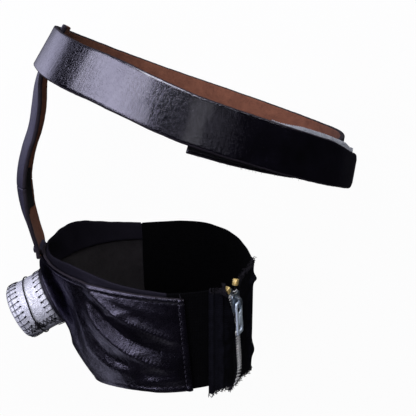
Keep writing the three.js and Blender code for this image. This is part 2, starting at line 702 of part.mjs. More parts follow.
// The strap is arched across its width, and lies flat at its two fixed ends
function onNoseStrap(distance, across, offset) {
  const share = clamp(distance / noseStrapLength, 0, 1);
  const place = noseStrap.getPointAt(share);
  const tangent = noseStrap.getTangentAt(share);
  const forward = new THREE.Vector3(-tangent.y, tangent.x, 0);
  const ease = smoothstep(share, ...ARCH_RISE) * (1 - smoothstep(share, ...ARCH_FALL));
  const arch = NOSE_STRAP_FLAT + (NOSE_STRAP_ARCH - NOSE_STRAP_FLAT) * ease;
  const turn = (2 * across) / NOSE_STRAP_WIDTH;
  const slope = Math.atan((4 * arch * turn) / NOSE_STRAP_WIDTH);
  place.addScaledVector(forward, -arch * turn ** 2 + offset * Math.cos(slope));
  place.z = across + offset * Math.sin(slope);
  return place;
}

function nosePiece(name, from, to, sheet, offset, finish) {
  const geometry = bentSheet(sheet.steps, 4, sheet.thick, (u, v) =>
    onNoseStrap(lerp(from, to, u), (0.5 - v) * sheet.width, offset),
  );
  return addPiece(name, geometry, finish);
}

function addNoseStrap() {
  const splice = noseStrapAt(SPLICE_LEVEL);
  const strap = { width: NOSE_STRAP_WIDTH, thick: NOSE_STRAP_THICK };
  nosePiece("front_strap_lower", 0, splice - GAP / 2, { ...strap, steps: LOWER_STEPS }, 0, "leather");
  nosePiece("front_strap_upper", splice + GAP / 2, noseStrapLength, { ...strap, steps: UPPER_STEPS }, 0, "leather");
  const inside = -(NOSE_STRAP_THICK + SPLICE_PATCH.thick) / 2 - GAP;
  const ends = [noseStrapAt(SPLICE_PATCH.low), noseStrapAt(SPLICE_PATCH.high)];
  nosePiece("splice_patch", ...ends, SPLICE_PATCH, inside, "tape");
}

// Drum

// A closed ring turned from its section, given as [radius, distance from the foot]
function turned(section) {
  const points = [...section, section[0]].map(([radius, height]) => new THREE.Vector2(radius, height));
  return new THREE.LatheGeometry(points, ROUND_SIDES);
}

function addDrum() {
  const toAxis = new THREE.Quaternion().setFromUnitVectors(UP, drumAxis);
  const placeOnAxis = (name, geometry, distance, finish) => {
    const mesh = addPiece(name, geometry, finish);
    mesh.quaternion.copy(toAxis);
    mesh.position.copy(DRUM_FOOT).addScaledVector(drumAxis, distance);
    return mesh;
  };
  const flange = [
    [FLANGE_HOLE, 0],
    [FLANGE_RADIUS, 0],
    [FLANGE_RADIUS, FLANGE_THICK - FLANGE_BEVEL],
    [FLANGE_RADIUS - FLANGE_BEVEL, FLANGE_THICK],
    [FLANGE_HOLE, FLANGE_THICK],
  ];
  placeOnAxis("canister_flange", turned(flange), 0, "leather");
  const wall = [
    [DRUM_RADIUS - DRUM_WALL, 0],
    [DRUM_RADIUS, 0],
    [DRUM_RIM_RADIUS, DRUM_LENGTH],
    [DRUM_RIM_RADIUS - DRUM_WALL, DRUM_LENGTH],
  ];
  const foot = FLANGE_THICK + GAP;
  placeOnAxis("canister_wall", turned(wall), foot, "silver_leather");
  const disc = [
    new THREE.Vector2(0, 0),
    new THREE.Vector2(DRUM_RIM_RADIUS, 0),
    new THREE.Vector2(DRUM_RIM_RADIUS, DISC_EDGE),
    new THREE.Vector2(DRUM_RIM_RADIUS - DISC_BEVEL, DISC_THICK),
    new THREE.Vector2(0, DISC_THICK + DISC_CROWN),
  ];
  placeOnAxis("canister_end", new THREE.LatheGeometry(disc, ROUND_SIDES), foot + DRUM_LENGTH + GAP, "silver_leather");
  const cord = new THREE.TorusGeometry(DRUM_RADIUS + GAP + CORD_RADIUS, CORD_RADIUS, 5, ROUND_SIDES);
  cord.rotateX(Math.PI / 2).rotateZ(radians(CORD_TILT));
  placeOnAxis("canister_cord", cord, foot + CORD_PLACE * DRUM_LENGTH, "cord");
}

const group = new THREE.Group();
group.position.copy(PLACE);
group.add(worn);

addHeadStrap();
addCup();
addElastic();
addZip();
addNoseStrap();
addDrum();

export default group;
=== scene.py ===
import math
import random
from functools import cached_property

import bmesh
import bpy
import numpy as np
from mathutils import Matrix, Vector, noise


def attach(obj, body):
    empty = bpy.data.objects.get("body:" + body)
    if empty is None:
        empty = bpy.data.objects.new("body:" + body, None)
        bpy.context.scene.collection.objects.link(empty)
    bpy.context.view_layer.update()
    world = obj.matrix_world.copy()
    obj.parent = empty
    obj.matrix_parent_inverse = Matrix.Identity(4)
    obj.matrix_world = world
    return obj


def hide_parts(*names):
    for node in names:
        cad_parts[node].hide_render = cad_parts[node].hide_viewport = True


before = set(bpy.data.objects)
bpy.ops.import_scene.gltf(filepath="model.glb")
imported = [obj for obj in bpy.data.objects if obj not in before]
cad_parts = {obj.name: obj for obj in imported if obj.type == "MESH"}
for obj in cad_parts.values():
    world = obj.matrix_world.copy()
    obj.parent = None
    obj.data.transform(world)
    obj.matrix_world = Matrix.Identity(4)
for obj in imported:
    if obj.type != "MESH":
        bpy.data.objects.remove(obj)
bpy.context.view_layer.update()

# The worn frame, in mm: +X backwards, +Y to the crown, +Z to the mask's own left.
PLACE = np.array((20.1, 0.22, 66.0))
FLOOR = -66.0
GAP = 0.35
UP = np.array((0.0, 1.0, 0.0))
LEFT = np.array((0.0, 0.0, 1.0))


def to_model(points):
    """Worn places in mm as places in the model, in metres."""
    return (np.asarray(points, float) + PLACE) / 1000


def smooth(x, low, high):
    t = np.clip((np.asarray(x, float) - low) / (high - low), 0, 1)
    return t * t * (3 - 2 * t)


def unit(vectors):
    vectors = np.asarray(vectors, float)
    return vectors / np.maximum(np.linalg.norm(vectors, axis=-1, keepdims=True), 1e-12)


def wander(x, y=0.0, z=0.0):
    """Smooth noise between about -1 and 1 at each place."""
    x, y, z = np.broadcast_arrays(np.asarray(x, float), y, z)
    return np.array([noise.noise((a, b, c)) for a, b, c in zip(x.ravel(), y.ravel(), z.ravel())]).reshape(x.shape)


def hump(x, middle, spread):
    """A rounded hill, 1 high at its middle."""
    return np.exp(-(((x - middle) / spread) ** 2))


# Lines followed by distance


def through(points, t, closed):
    """The centripetal curve through points, at shares t of its knots."""
    count = len(points)
    spans = count if closed else count - 1
    first = np.minimum((spans * t).astype(int), spans - 1)
    share = (spans * t - first)[:, None]
    if closed:
        a, b, c, d = (points[(first + k) % count] for k in (-1, 0, 1, 2))
    else:
        longer = np.vstack((2 * points[0] - points[1], points, 2 * points[-1] - points[-2]))
        a, b, c, d = (longer[first + k] for k in range(4))
    g0, g1, g2 = (np.sqrt(np.linalg.norm(q - p, axis=1))[:, None] for p, q in ((a, b), (b, c), (c, d)))
    t1 = ((b - a) / g0 - (c - a) / (g0 + g1) + (c - b) / g1) * g1
    t2 = ((c - b) / g1 - (d - b) / (g1 + g2) + (d - c) / g2) * g1
    return b + t1 * share + (3 * (c - b) - 2 * t1 - t2) * share**2 + (2 * (b - c) + t1 + t2) * share**3


class Line:
    """A smooth line through points, followed by the distance along it."""

    def __init__(self, points, closed=False):
        self.closed = closed
        self.t = np.linspace(0, 1, 4001)
        self.places = through(np.array(points, float), self.t, closed)
        runs = np.linalg.norm(np.diff(self.places, axis=0), axis=1)
        self.run = np.concatenate(([0], np.cumsum(runs)))
        self.length = self.run[-1]

    def place(self, distance):
        distance = np.mod(distance, self.length) if self.closed else np.clip(distance, 0, self.length)
        return np.stack([np.interp(distance, self.run, self.places[:, k]) for k in range(3)], -1)

    def heading(self, distance, step=0.25):
        if not self.closed:
            distance = np.clip(distance, step, self.length - step)
        return unit(self.place(distance + step) - self.place(distance - step))

    def share(self, distance):
        return np.interp(distance, self.run, self.t)


# Head strap

STRAP_WIDTH, STRAP_THICK = 22.0, 2.4
END_RADIUS, END_TAPER, END_TAPER_LENGTH = 4.5, 1.8, 34.0
BAND_SLOPE, BAND_MIDDLE, BAND_HALF_LENGTH = math.radians(18.7), -22.6, 87.0
BAND_HALF_NEAR, BAND_HALF_FAR, BAND_SQUARENESS = 71.0, 66.0, 2.2
LAP_GAP, INNER_END, LIFT, FREE_LENGTH, FREE_BEND, FREE_STEPS, FREE_ANGLE = 6.0, -97, 302, 38.5, 0.5, 8, 30
BAND_ANGLE_STEP, LAP_EASE = 7, (-30, 70)
STATIONS = np.array([
    # angle round the loop, level of the strap's middle, lean
    (INNER_END, 48.5, 12), (-45, 51.5, 12), (0, 56.5, 10), (90, 57, 0), (180, 60.6, 14),
    (225, 57, 14), (270, 52.4, 13), (LIFT, 52, 12), (LIFT + FREE_ANGLE, 50.2, 12),
], float)
SLOPE_ALONG = np.array((math.cos(BAND_SLOPE), -math.sin(BAND_SLOPE), 0))
SLOPE_UP = np.array((math.sin(BAND_SLOPE), math.cos(BAND_SLOPE), 0))
PATCH_THICK, PATCH_WIDTH, PATCH_LENGTH, PATCH_INSET = 1.2, 19.0, 64.0, 3.0


def station(angle, column):
    """The level, column 1, or the lean, column 2, of the strap at an angle round its loop."""
    angle = np.clip(np.atleast_1d(angle), STATIONS[0, 0], STATIONS[-1, 0])
    after = np.clip(np.searchsorted(STATIONS[:, 0], angle), 1, len(STATIONS) - 1)
    share = smooth((angle - STATIONS[after - 1, 0]) / (STATIONS[after, 0] - STATIONS[after - 1, 0]), 0, 1)
    return STATIONS[after - 1, column] * (1 - share) + STATIONS[after, column] * share


def oval(angle, a, b, squareness):
    """A point of an oval of half lengths a and b; a squareness of 2 makes it an ellipse."""
    c, s = math.cos(math.radians(angle)), math.sin(math.radians(angle))
    power = 2 / squareness
    return a * math.copysign(abs(c) ** power, c), b * math.copysign(abs(s) ** power, s)


def on_slope(along, level, lateral):
    return SLOPE_ALONG * along + SLOPE_UP * level + LEFT * lateral


def band_path():
    points, angles = [], []
    for angle in range(INNER_END, LIFT + 1, BAND_ANGLE_STEP):
        inset = LAP_GAP * (1 - float(smooth(angle, *LAP_EASE)))
        half = BAND_HALF_FAR if math.sin(math.radians(angle)) > 0 else BAND_HALF_NEAR
        along, lateral = oval(angle, BAND_HALF_LENGTH - inset, half - inset, BAND_SQUARENESS)
        points.append(on_slope(BAND_MIDDLE + along, float(station(angle, 1)[0]), -lateral))
        angles.append(angle)
    run = unit(points[-1] - points[-2])
    heading = math.atan2(-run[2], run @ SLOPE_ALONG)
    along, lateral = points[-1] @ SLOPE_ALONG, points[-1][2]
    step = FREE_LENGTH / FREE_STEPS
    for i in range(1, FREE_STEPS + 1):
        heading += math.radians(FREE_BEND * step)
        along += step * math.cos(heading)
        lateral -= step * math.sin(heading)
        angle = LIFT + FREE_ANGLE * i / FREE_STEPS
        points.append(on_slope(along, float(station(angle, 1)[0]), lateral))
        angles.append(angle)
    return Line(points), np.array(angles, float)


band, band_angles = band_path()


def on_band(distance, across, offset):
    """A place by distance along the head strap, across it from its middle, and out of it."""
    place, tangent = band.place(distance), band.heading(distance)
    angle = np.interp(band.share(distance) * (len(band_angles) - 1), np.arange(len(band_angles)), band_angles)
    upward = unit(SLOPE_UP - tangent * (tangent @ SLOPE_UP)[:, None])
    lean = -np.radians(station(angle, 2))[:, None]
    upward = upward * np.cos(lean) + np.cross(tangent, upward) * np.sin(lean)
    outward = np.cross(tangent, upward)
    return place + upward * np.asarray(across)[..., None] + outward * np.asarray(offset)[..., None]


# Ring of the cup and the neck band

RING_MIDDLE, RING_FRONT, RING_BACK, RING_NEAR, RING_FAR, RING_SQUARENESS = -22.0, 66.0, 48.0, 55.0, 66.0, 2.5
LEATHER, CUP_HALF, SEAM_SLANT = 1.6, 96.0, 4.5
SIDE_TOP, FRONT_TOP, NOSE_PEAK, NOSE_PEAK_REACH = -30.5, -19.5, 1.5, 8.0
SIDE_HEM, CHIN_HEM, NOSE_FORWARD, RAKE, CHIN_CURL, SEAM_FACING = -85.0, -104.0, 6.5, 10.0, 15.0, 0.15
DRUM_FOOT = np.array((-90.5, -48.5, 0.0))
FLANGE_RADIUS, DRUM_SEAT, DRUM_DROP, DRUM_TURN = 18.0, (2.0, 13.0), math.radians(24), math.radians(5)
RING_ANGLE_STEP, TOP_POWER, FRONT_POWER, HEM_POWER = 5, 1.3, 1.2, 1.5


def ring_path():
    points = []
    for angle in range(0, 360, RING_ANGLE_STEP):
        front = angle < 90 or angle > 270
        half = RING_NEAR if angle < 180 else RING_FAR
        along, lateral = oval(angle, RING_FRONT if front else RING_BACK, half, 2 if front else RING_SQUARENESS)
        points.append((RING_MIDDLE - along, 0, max(lateral, FLOOR + LEATHER / 2)))
    return Line(points, closed=True)


ring = ring_path()


def on_ring(distance):
    """Places round the ring, from the front to the mask's left, with the directions along it and out of it."""
    tangent = ring.heading(distance)
    return ring.place(distance), tangent, np.stack((-tangent[:, 2], tangent[:, 1] * 0, tangent[:, 0]), -1)


def turned(vector, axis, angle):
    return np.array(Matrix.Rotation(angle, 3, Vector(axis)) @ Vector(vector))


DRUM_AXIS = turned(turned((-1, 0, 0), LEFT, DRUM_DROP), UP, DRUM_TURN)

# Folds on the cup's left side: three points of a curve as (round the ring, share of the height), rise, spread
FOLDS = [
    ((46, 0.99), (56, 0.785), (91, 0.55), 2.4, 2.7),
    ((47, 0.86), (54, 0.54), (88, 0.42), -1.9, 3.8),
    ((45, 0.80), (46.5, 0.54), (85, 0.25), 2.3, 2.8),
    ((43, 0.55), (50, 0.28), (82, 0.16), -1.0, 3.6),
    ((41, 0.42), (50.5, 0.11), (79, 0.29), 1.3, 4.0),
    ((52, 0.73), (59, 0.78), (69, 0.82), 0.6, 1.5),
    ((60, 0.60), (70, 0.50), (84, 0.46), 0.5, 1.6),
    ((48, 0.96), (62, 0.90), (88, 0.80), 0.7, 3.0),
    ((56, 0.42), (66, 0.38), (74, 0.42), 0.45, 1.6),
    ((27, 0.90), (33, 0.55), (30, 0.20), -0.7, 4.5),
    ((36, 0.92), (39, 0.60), (37, 0.35), 0.8, 3.6),
    ((70, 0.10), (82, 0.16), (92, 0.13), 0.5, 2.4),
]
CUP_HEIGHT, FOLDED, FOLD_POWER = 58.0, (15, 100), 1.7


def fold_rise(distance, v):
    """How far the folds stand out of the cup's leather."""
    rise = np.zeros_like(distance)
    near = (distance > FOLDED[0]) & (distance < FOLDED[1])
    d, w = distance[near], v[near] * CUP_HEIGHT
    t = np.linspace(0, 1, 40)[:, None]
    for start, bend, end, height, spread in FOLDS:
        curve = (1 - t) ** 2 * np.array(start) + 2 * t * (1 - t) * np.array(bend) + t**2 * np.array(end)
        away = np.hypot(d[:, None] - curve[None, :, 0], w[:, None] - curve[None, :, 1] * CUP_HEIGHT) / spread
        fade = np.sqrt(np.sin(math.pi * t[:, 0]))
        rise[near] += height * (np.exp(-(away**FOLD_POWER)) * fade).max(1)
    return rise


def cup_top(distance):
    share = (np.abs(distance) / CUP_HALF) ** TOP_POWER
    return FRONT_TOP + (SIDE_TOP - FRONT_TOP) * share + NOSE_PEAK * hump(distance, 0, NOSE_PEAK_REACH)


def frontness(distance):
    outward = on_ring(distance)[2]
    return np.maximum(0, (-outward[:, 0] - SEAM_FACING) / (1 - SEAM_FACING)) ** FRONT_POWER


def cup_hem(distance):
    return SIDE_HEM + (CHIN_HEM - SIDE_HEM) * frontness(distance) ** HEM_POWER


def on_cup(distance, v, offset):
    """A place on the cup's leather, v from the hem, 0, to the top edge, 1."""
    along = distance * (1 + SEAM_SLANT / CUP_HALF * (1 - v))
    place, _, outward = on_ring(along)
    hem = cup_hem(along)
    profile = NOSE_FORWARD - RAKE * (1 - v) - CHIN_CURL * (1 - v) ** 3
    out = frontness(along) * profile + fold_rise(distance, v) + offset
    place = place + outward * out[:, None]
    place[:, 1] = hem + (cup_top(distance) - hem) * v
    away = place - DRUM_FOOT
    depth = away @ DRUM_AXIS
    radius = np.linalg.norm(away - depth[:, None] * DRUM_AXIS, axis=1)
    pull = 1 - smooth(radius - FLANGE_RADIUS, *DRUM_SEAT)
    return place + DRUM_AXIS * (pull * (offset - LEATHER / 2 - GAP - depth))[:, None]


# Zip

ELASTIC_THICK, ELASTIC_TOP, ELASTIC_HEM, SEAM_LAP = 1.2, -28.0, -85.0, 8.0
TAPE_THICK, TAPE_WIDTH, TAPE_LAP, TAPE_HEM, NEAR_TAPE_TOP, FAR_TAPE_TOP = 0.9, 16.5, 6.0, -89.5, -28.5, -22.0
CHAIN_DISTANCE, ZIP_TURN, ZIP_OFFSET, ZIP_LEAN, ZIP_LEAN_HEIGHT = 128.5, math.radians(12), -0.5, 0.12, -62.0
PITCH, TEETH, ROW_HALF, CHAIN_BOTTOM = 1.75, 33, 2.7, -88.0
SLIDER_MIDDLE, SLIDER_LENGTH, PARTING, TAPE_PART = -35.4, 10.5, 2.3, (-32.2, -29.2)
TOP_SHIFT, TOP_SHIFT_SPAN, FOOT_BEND, FOOT_BEND_HEIGHT = 3.5, (-58, -43), 0.06, 9
PULL_AXIS, PULL_THICK = 3.7, 0.95

zip_place, zip_tangent, zip_out = (a[0] for a in on_ring(np.array([CHAIN_DISTANCE])))
ZIP_ACROSS = turned(zip_tangent, UP, ZIP_TURN)
ZIP_OUTWARD = turned(zip_out, UP, ZIP_TURN)
zip_place = zip_place + ZIP_OUTWARD * ZIP_OFFSET


def zip_line(height):
    """Where the chain's middle is across the zip, at a height."""
    below = np.maximum(0, CHAIN_BOTTOM + FOOT_BEND_HEIGHT - height)
    lean = ZIP_LEAN * (ZIP_LEAN_HEIGHT - height)
    return lean - TOP_SHIFT * smooth(height, *TOP_SHIFT_SPAN) - FOOT_BEND * below**2


def row_shift(side, height):
    """And where a row of teeth is, which parts from the other above the slider."""
    return zip_line(height) + side * PARTING * smooth(height, SLIDER_MIDDLE - 2, SLIDER_MIDDLE + SLIDER_LENGTH / 2)


def on_zip(across, height, out):
    """A place on the flat of the zip: across its line, level, and out of its middle layer."""
    across, height, out = (np.asarray(a, float)[..., None] for a in np.broadcast_arrays(across, height, out))
    place = zip_place + ZIP_ACROSS * across + ZIP_OUTWARD * out
    return np.concatenate((place[..., :1], height, place[..., 2:]), -1)


# Nose strap

NOSE_WIDTH, NOSE_THICK, NOSE_ARCH, NOSE_FLAT = 24.0, 2.2, 5.0, 1.5
ARCH_RISE, ARCH_FALL = (0.06, 0.3), (0.62, 0.85)  # shares of its length
SPLICE_LEVEL, SPLICE_PATCH, SPLICE_WIDTH, SPLICE_THICK = 19, (3, 27), 20, 1.1
nose_line = Line([(x, y, 0) for x, y in (
    (-98.4, -21.6), (-98.8, -15.5), (-101.4, -5.5), (-104.4, 6), (-105.5, 19), (-104.3, 28.5), (-100.7, 40),
    (-96.7, 50.5), (-93.8, 62), (-90.8, 74), (-87.5, 81.8), (-81.8, 90.9), (-73.9, 103.4),
)])


def nose_level(height):
    """The distance along the strap at which it passes a height."""
    return float(np.interp(height, nose_line.places[:, 1], nose_line.run))


SPLICE = nose_level(SPLICE_LEVEL)


def on_nose(distance, across, offset):
    """A place by distance up the nose strap, across it from its middle, and out of its arched face."""
    place, tangent = nose_line.place(distance), nose_line.heading(distance)
    forward = np.stack((-tangent[:, 1], tangent[:, 0], tangent[:, 0] * 0), -1)
    share = distance / nose_line.length
    ease = smooth(share, *ARCH_RISE) * (1 - smooth(share, *ARCH_FALL))
    arch = NOSE_FLAT + (NOSE_ARCH - NOSE_FLAT) * ease
    turn = 2 * across / NOSE_WIDTH
    slope = np.arctan(4 * arch * turn / NOSE_WIDTH)
    place = place + forward * (-arch * turn**2 + offset * np.cos(slope))[:, None]
    return place + LEFT * (across + offset * np.sin(slope))[:, None]


# Making meshes

OUTER, INNER, EDGE = 0, 1, 2  # a sheet's finishes
FLAT_SCALE = 100  # mm of a sheet for one unit of its flat map
WELD = 1e-6
RUN_STEP, SHARE_STEP = 0.4, 0.006  # to find the cup's normal


def put(bm, places):
    """Moves a bmesh's corners to worn places."""
    for vert, place in zip(bm.verts, to_model(places)):
        vert.co = place


def soften(bm):
    for face in bm.faces:
        face.smooth = True


def bevelled(bm, edges, size, segments, **more):
    bmesh.ops.bevel(
        bm, geom=edges, offset=size, segments=segments, profile=0.5, affect="EDGES", material=-1, clamp_overlap=True,
        **more,
    )


def block(place, axes, sizes):
    """A matrix that makes a unit block the given sizes along three directions, in mm, and sets it at a worn place."""
    matrix = Matrix((np.array(axes, float).T * sizes / 1000).tolist()).to_4x4()
    matrix.translation = to_model(place)
    return matrix


def in_scene(name, data):
    obj = bpy.data.objects.new(name, data)
    bpy.context.scene.collection.objects.link(obj)
    return obj


def finished(name, bm, finishes, slot, node=None, body="mask", sharp=None):
    """An object from a bmesh, in the scene, with its finishes and its place in the frame."""
    mesh = bpy.data.meshes.new(name)
    bm.to_mesh(mesh)
    bm.free()
    obj = in_scene(name, mesh)
    for finish in finishes if isinstance(finishes, list) else [finishes]:
        mesh.materials.append(finish)
    if sharp is not None:
        mesh.set_sharp_from_angle(angle=math.radians(sharp))
    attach(obj, body)
    if node:
        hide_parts(node)


def tube(name, rows, columns, place, flat, finishes, kinds, **words):
    """A grid of rows by columns, each corner put at place(row, column), joined into a tube and closed at its ends."""
    bm = bmesh.new()
    bmesh.ops.create_grid(bm, x_segments=rows, y_segments=columns, size=1)
    corners = np.array([v.co for v in bm.verts])[:, :2]
    i, j = np.rint((corners + 1) / 2 * (rows, columns)).astype(int).T
    maps = flat(i, j) / FLAT_SCALE
    layer = bm.loops.layers.uv.new("flat")
    for face in bm.faces:
        face.smooth = True
        face.material_index = kinds[min(j[v.index] for v in face.verts)]
        for loop in face.loops:
            loop[layer].uv = maps[loop.vert.index]
    put(bm, place(i, j))
    bmesh.ops.remove_doubles(bm, verts=bm.verts, dist=WELD)
    rims = [e for e in bm.edges if e.is_boundary]
    for face in bmesh.ops.holes_fill(bm, edges=rims, sides=0)["faces"]:
        face.smooth = False
        face.material_index = max(kinds)
        for edge in face.edges:
            edge.smooth = False
    bmesh.ops.recalc_face_normals(bm, faces=bm.faces)
    finished(name, bm, finishes, **words)


def flat_section(face_steps, edge_steps):
    """Round a flat section: side along each face, curl round each edge, lift to either face, and each step's kind."""
    face = np.linspace(-1, 1, face_steps + 1)
    arc = np.linspace(math.pi / 2, -math.pi / 2, edge_steps + 1)[1:-1]
    side = np.concatenate((face, arc * 0 + 1, face[::-1], arc * 0 - 1, [-1]))
    curl = np.concatenate((face * 0, np.cos(arc), face * 0, -np.cos(arc), [0]))
    lift = np.concatenate((face * 0 + 1, np.sin(arc), face * 0 - 1, -np.sin(arc), [1]))
    kinds = [OUTER] * face_steps + [EDGE] * edge_steps + [INNER] * face_steps + [EDGE] * edge_steps
    return side, curl, lift, kinds


def sheet(name, surface, run, low, high, thick, finishes, scale=1.0, steps=(24, 6), soft=0.6, **words):
    """A cut sheet with soft edges, bent over surface(run, across, offset), from low to high across it."""
    side, curl, lift, kinds = flat_section(*steps)
    run = np.asarray(run, float)
    ends = np.minimum(np.abs(run - run[0]), np.abs(run - run[-1]))
    low, high, thick, scale = (np.broadcast_to(np.asarray(a, float), run.shape) for a in (low, high, thick, scale))
    radius = thick / 2 * soft
    round_off = 1 - np.sqrt(1 - (1 - np.clip(ends / radius, 0, 1)) ** 2)
    middle, half = (low + high) / 2, (high - low) / 2 * scale - 0.5 * radius * round_off
    half_thick = thick / 2 * (1 - 0.6 * round_off)

    def place(i, j):
        across = (side[j] * (half[i] - radius[i]) + curl[j] * radius[i]) / scale[i]
        places = surface(run[i], middle[i] + across, lift[j] * half_thick[i])
        places[:, 2] = np.maximum(places[:, 2], FLOOR)
        return places

    def flat(i, j):
        return np.stack((run[i], (middle[i] + side[j] * half[i] / scale[i]) * scale[i]), -1)

    tube(name, len(run) - 1, len(side) - 1, place, flat, finishes, kinds, **words)


def stretch(start, end, steps, near_ends=0.5):
    """Distances from start to end, closer together at the two ends."""
    fine = np.array([0, 0.1, 0.3, 0.6]) * near_ends
    inner = np.linspace(start + near_ends, end - near_ends, steps + 1)
    return np.concatenate((start + fine, inner, (end - fine)[::-1]))


def shelled(surface, offset=0.0):
    """A surface of run and height share, whose thickness stands on its own normal."""

    def place(run, v, lift):
        base = 0 * run + offset
        along = surface(run + RUN_STEP, v, base) - surface(run - RUN_STEP, v, base)
        upward = surface(run, v + SHARE_STEP, base) - surface(run, v - SHARE_STEP, base)
        return surface(run, v, base) + unit(np.cross(along, upward)) * lift[:, None]

    return place


def strands(name, lines, radius, finish, sides=1, taper=0.0, **words):
    """Threads and cords along lines of worn places, as closed round tubes."""
    curve = bpy.data.curves.new(name, "CURVE")
    curve.dimensions = "3D"
    curve.bevel_depth = radius / 1000
    curve.bevel_resolution = sides
    curve.use_fill_caps = True
    for line in lines:
        places = to_model(line)
        spline = curve.splines.new("POLY")
        spline.points.add(len(places) - 1)
        for k, (point, (x, y, z)) in enumerate(zip(spline.points, places)):
            point.co = (x, y, max(z, radius / 1000), 1)
            point.radius = 1 - taper * (k / (len(places) - 1)) ** 2
    temporary = in_scene(name, curve)
    graph = bpy.context.evaluated_depsgraph_get()
    mesh = bpy.data.meshes.new_from_object(temporary.evaluated_get(graph))
    bpy.data.objects.remove(temporary)
    bpy.data.curves.remove(curve)
    bm = bmesh.new()
    bm.from_mesh(mesh)
    bpy.data.meshes.remove(mesh)
    soften(bm)
    for face in bm.faces:
        face.material_index = 0
    finished(name, bm, finish, **words)


def frames_along(surface, places, turn=0.0, step=0.3):
    """For each (run, across, offset): its worn place, the direction along, turned, and the direction out."""
    run, across, offset = np.array(places, float).T
    along = unit(surface(run + step, across, offset) - surface(run - step, across, offset))
    out = unit(surface(run, across, offset + step) - surface(run, across, offset))
    side = unit(np.cross(out, along))
    along, side = along * math.cos(turn) + side * math.sin(turn), side * math.cos(turn) - along * math.sin(turn)
    return surface(run, across, offset), along, side, out


def stitches(name, rows, size, finish):
    """Small rounded stitches; each row is (place, along, side, out) arrays, size is (long, wide, high)."""
    bm = bmesh.new()
    for row in rows:
        for place, *axes in zip(*row):
            matrix = block(place, axes, size)
            matrix[2][3] = max(matrix[2][3], size[2] / 2000)
            bmesh.ops.create_icosphere(bm, subdivisions=1, radius=0.5, matrix=matrix)
    soften(bm)
    bmesh.ops.recalc_face_normals(bm, faces=bm.faces)
    finished(name, bm, finish, slot="cord")


def refined(name, node, bevel, finish, slot):
    """A CAD piece with its edges broken, as cast and tumbled metal has them."""
    bm = bmesh.new()
    bm.from_mesh(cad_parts[node].data)
    bmesh.ops.remove_doubles(bm, verts=bm.verts, dist=WELD)
    bmesh.ops.dissolve_limit(bm, angle_limit=math.radians(1), verts=bm.verts, edges=bm.edges)
    sharp = [e for e in bm.edges if len(e.link_faces) == 2 and e.calc_face_angle(0) > math.radians(28)]
    bevelled(bm, sharp, bevel / 1000, 3, loop_slide=True)
    bmesh.ops.triangulate(bm, faces=[f for f in bm.faces if len(f.verts) > 4])
    soften(bm)
    finished(name, bm, finish, slot, node, sharp=35)


# Finishes


class Finish:
    """A material's nodes, added and joined by name."""

    def __init__(self, name, tree=None):
        if tree is None:
            self.material = bpy.data.materials.new(name)
            self.material.use_nodes = True
            tree = self.material.node_tree
            tree.nodes.clear()
        self.tree = tree

    @cached_property
    def place(self):
        return self.add("TexCoord").outputs["Object"]

    @cached_property
    def flat(self):
        return self.add("UVMap", {"uv_map": "flat"}).outputs[0]

    def add(self, kind, settings=None, **inputs):
        node = self.tree.nodes.new("ShaderNode" + kind)
        for key, value in (settings or {}).items():
            setattr(node, key, value)
        for key, value in inputs.items():
            self.join(value, node.inputs[key.replace("_", " ")])
        return node

    def join(self, value, socket):
        if isinstance(value, bpy.types.NodeSocket):
            self.tree.links.new(value, socket)
        else:
            socket.default_value = (*value, 1) if socket.type == "RGBA" else value

    def joined(self, kind, settings, *inputs):
        node = self.add(kind, settings)
        for value, socket in zip(inputs, node.inputs):
            self.join(value, socket)
        return node.outputs

    def math(self, operation, *values):
        return self.joined("Math", {"operation": operation}, *values)[0]

    def times(self, a, b):
        return self.math("MULTIPLY", a, b)

    def off_middle(self, value):
        """How far a noise is from its middle."""
        return self.math("ABSOLUTE", self.math("SUBTRACT", value, 0.5))

    def total(self, whole, *parts):
        """A value with others added, each by its weight."""
        for value, weight in parts:
            whole = self.math("ADD", whole, self.times(value, weight))
        return whole

    def away(self, centre):
        return self.joined("VectorMath", {"operation": "DISTANCE"}, self.place, centre)["Value"]

    def mix(self, factor, a, b):
        node = self.add("Mix", {"data_type": "RGBA"}, Factor=factor)
        self.join(a, node.inputs[6])
        self.join(b, node.inputs[7])
        return node.outputs[2]

    def span(self, value, low, high, to_low=0.0, to_high=1.0):
        inputs = {"Value": value, "From_Min": low, "From_Max": high, "To_Min": to_low, "To_Max": to_high}
        return self.add("MapRange", {"clamp": True}, **inputs).outputs[0]

    def noise(self, vector, scale, detail=2.0, roughness=0.5, distortion=0.0):
        inputs = {"Scale": scale, "Detail": detail, "Roughness": roughness, "Distortion": distortion}
        return self.add("TexNoise", Vector=vector, **inputs).outputs[0]

    def stretched(self, x, y, detail, roughness, turn=0.0):
        """Noise on the flat map, closer together by x along the piece and by y across it."""
        pulled = self.add("Mapping", Vector=self.flat, Scale=(x, y, 1.0), Rotation=(0, 0, turn))
        return self.noise(pulled.outputs[0], 1.0, detail, roughness)

    def shader(self, height=None, depth=0.0, **inputs):
        shader = self.add("BsdfPrincipled", **inputs)
        if height is not None:
            bump = self.add("Bump", Strength=1.0, Distance=depth, Height=height)
            self.join(bump.outputs[0], shader.inputs["Normal"])
        self.join(shader.outputs[0], self.add("OutputMaterial").inputs[0])
        return self.material


def group(name, numbers_in, numbers_out):
    """A node group that takes a vector and numbers, and gives numbers."""
    tree = bpy.data.node_groups.new(name, "ShaderNodeTree")
    tree.interface.new_socket(name="Vector", in_out="INPUT", socket_type="NodeSocketVector")
    for titles, way in ((numbers_in, "INPUT"), (numbers_out, "OUTPUT")):
        for title in titles:
            tree.interface.new_socket(name=title, in_out=way, socket_type="NodeSocketFloat")
    return Finish(name, tree), tree.nodes.new("NodeGroupInput").outputs, tree.nodes.new("NodeGroupOutput").inputs


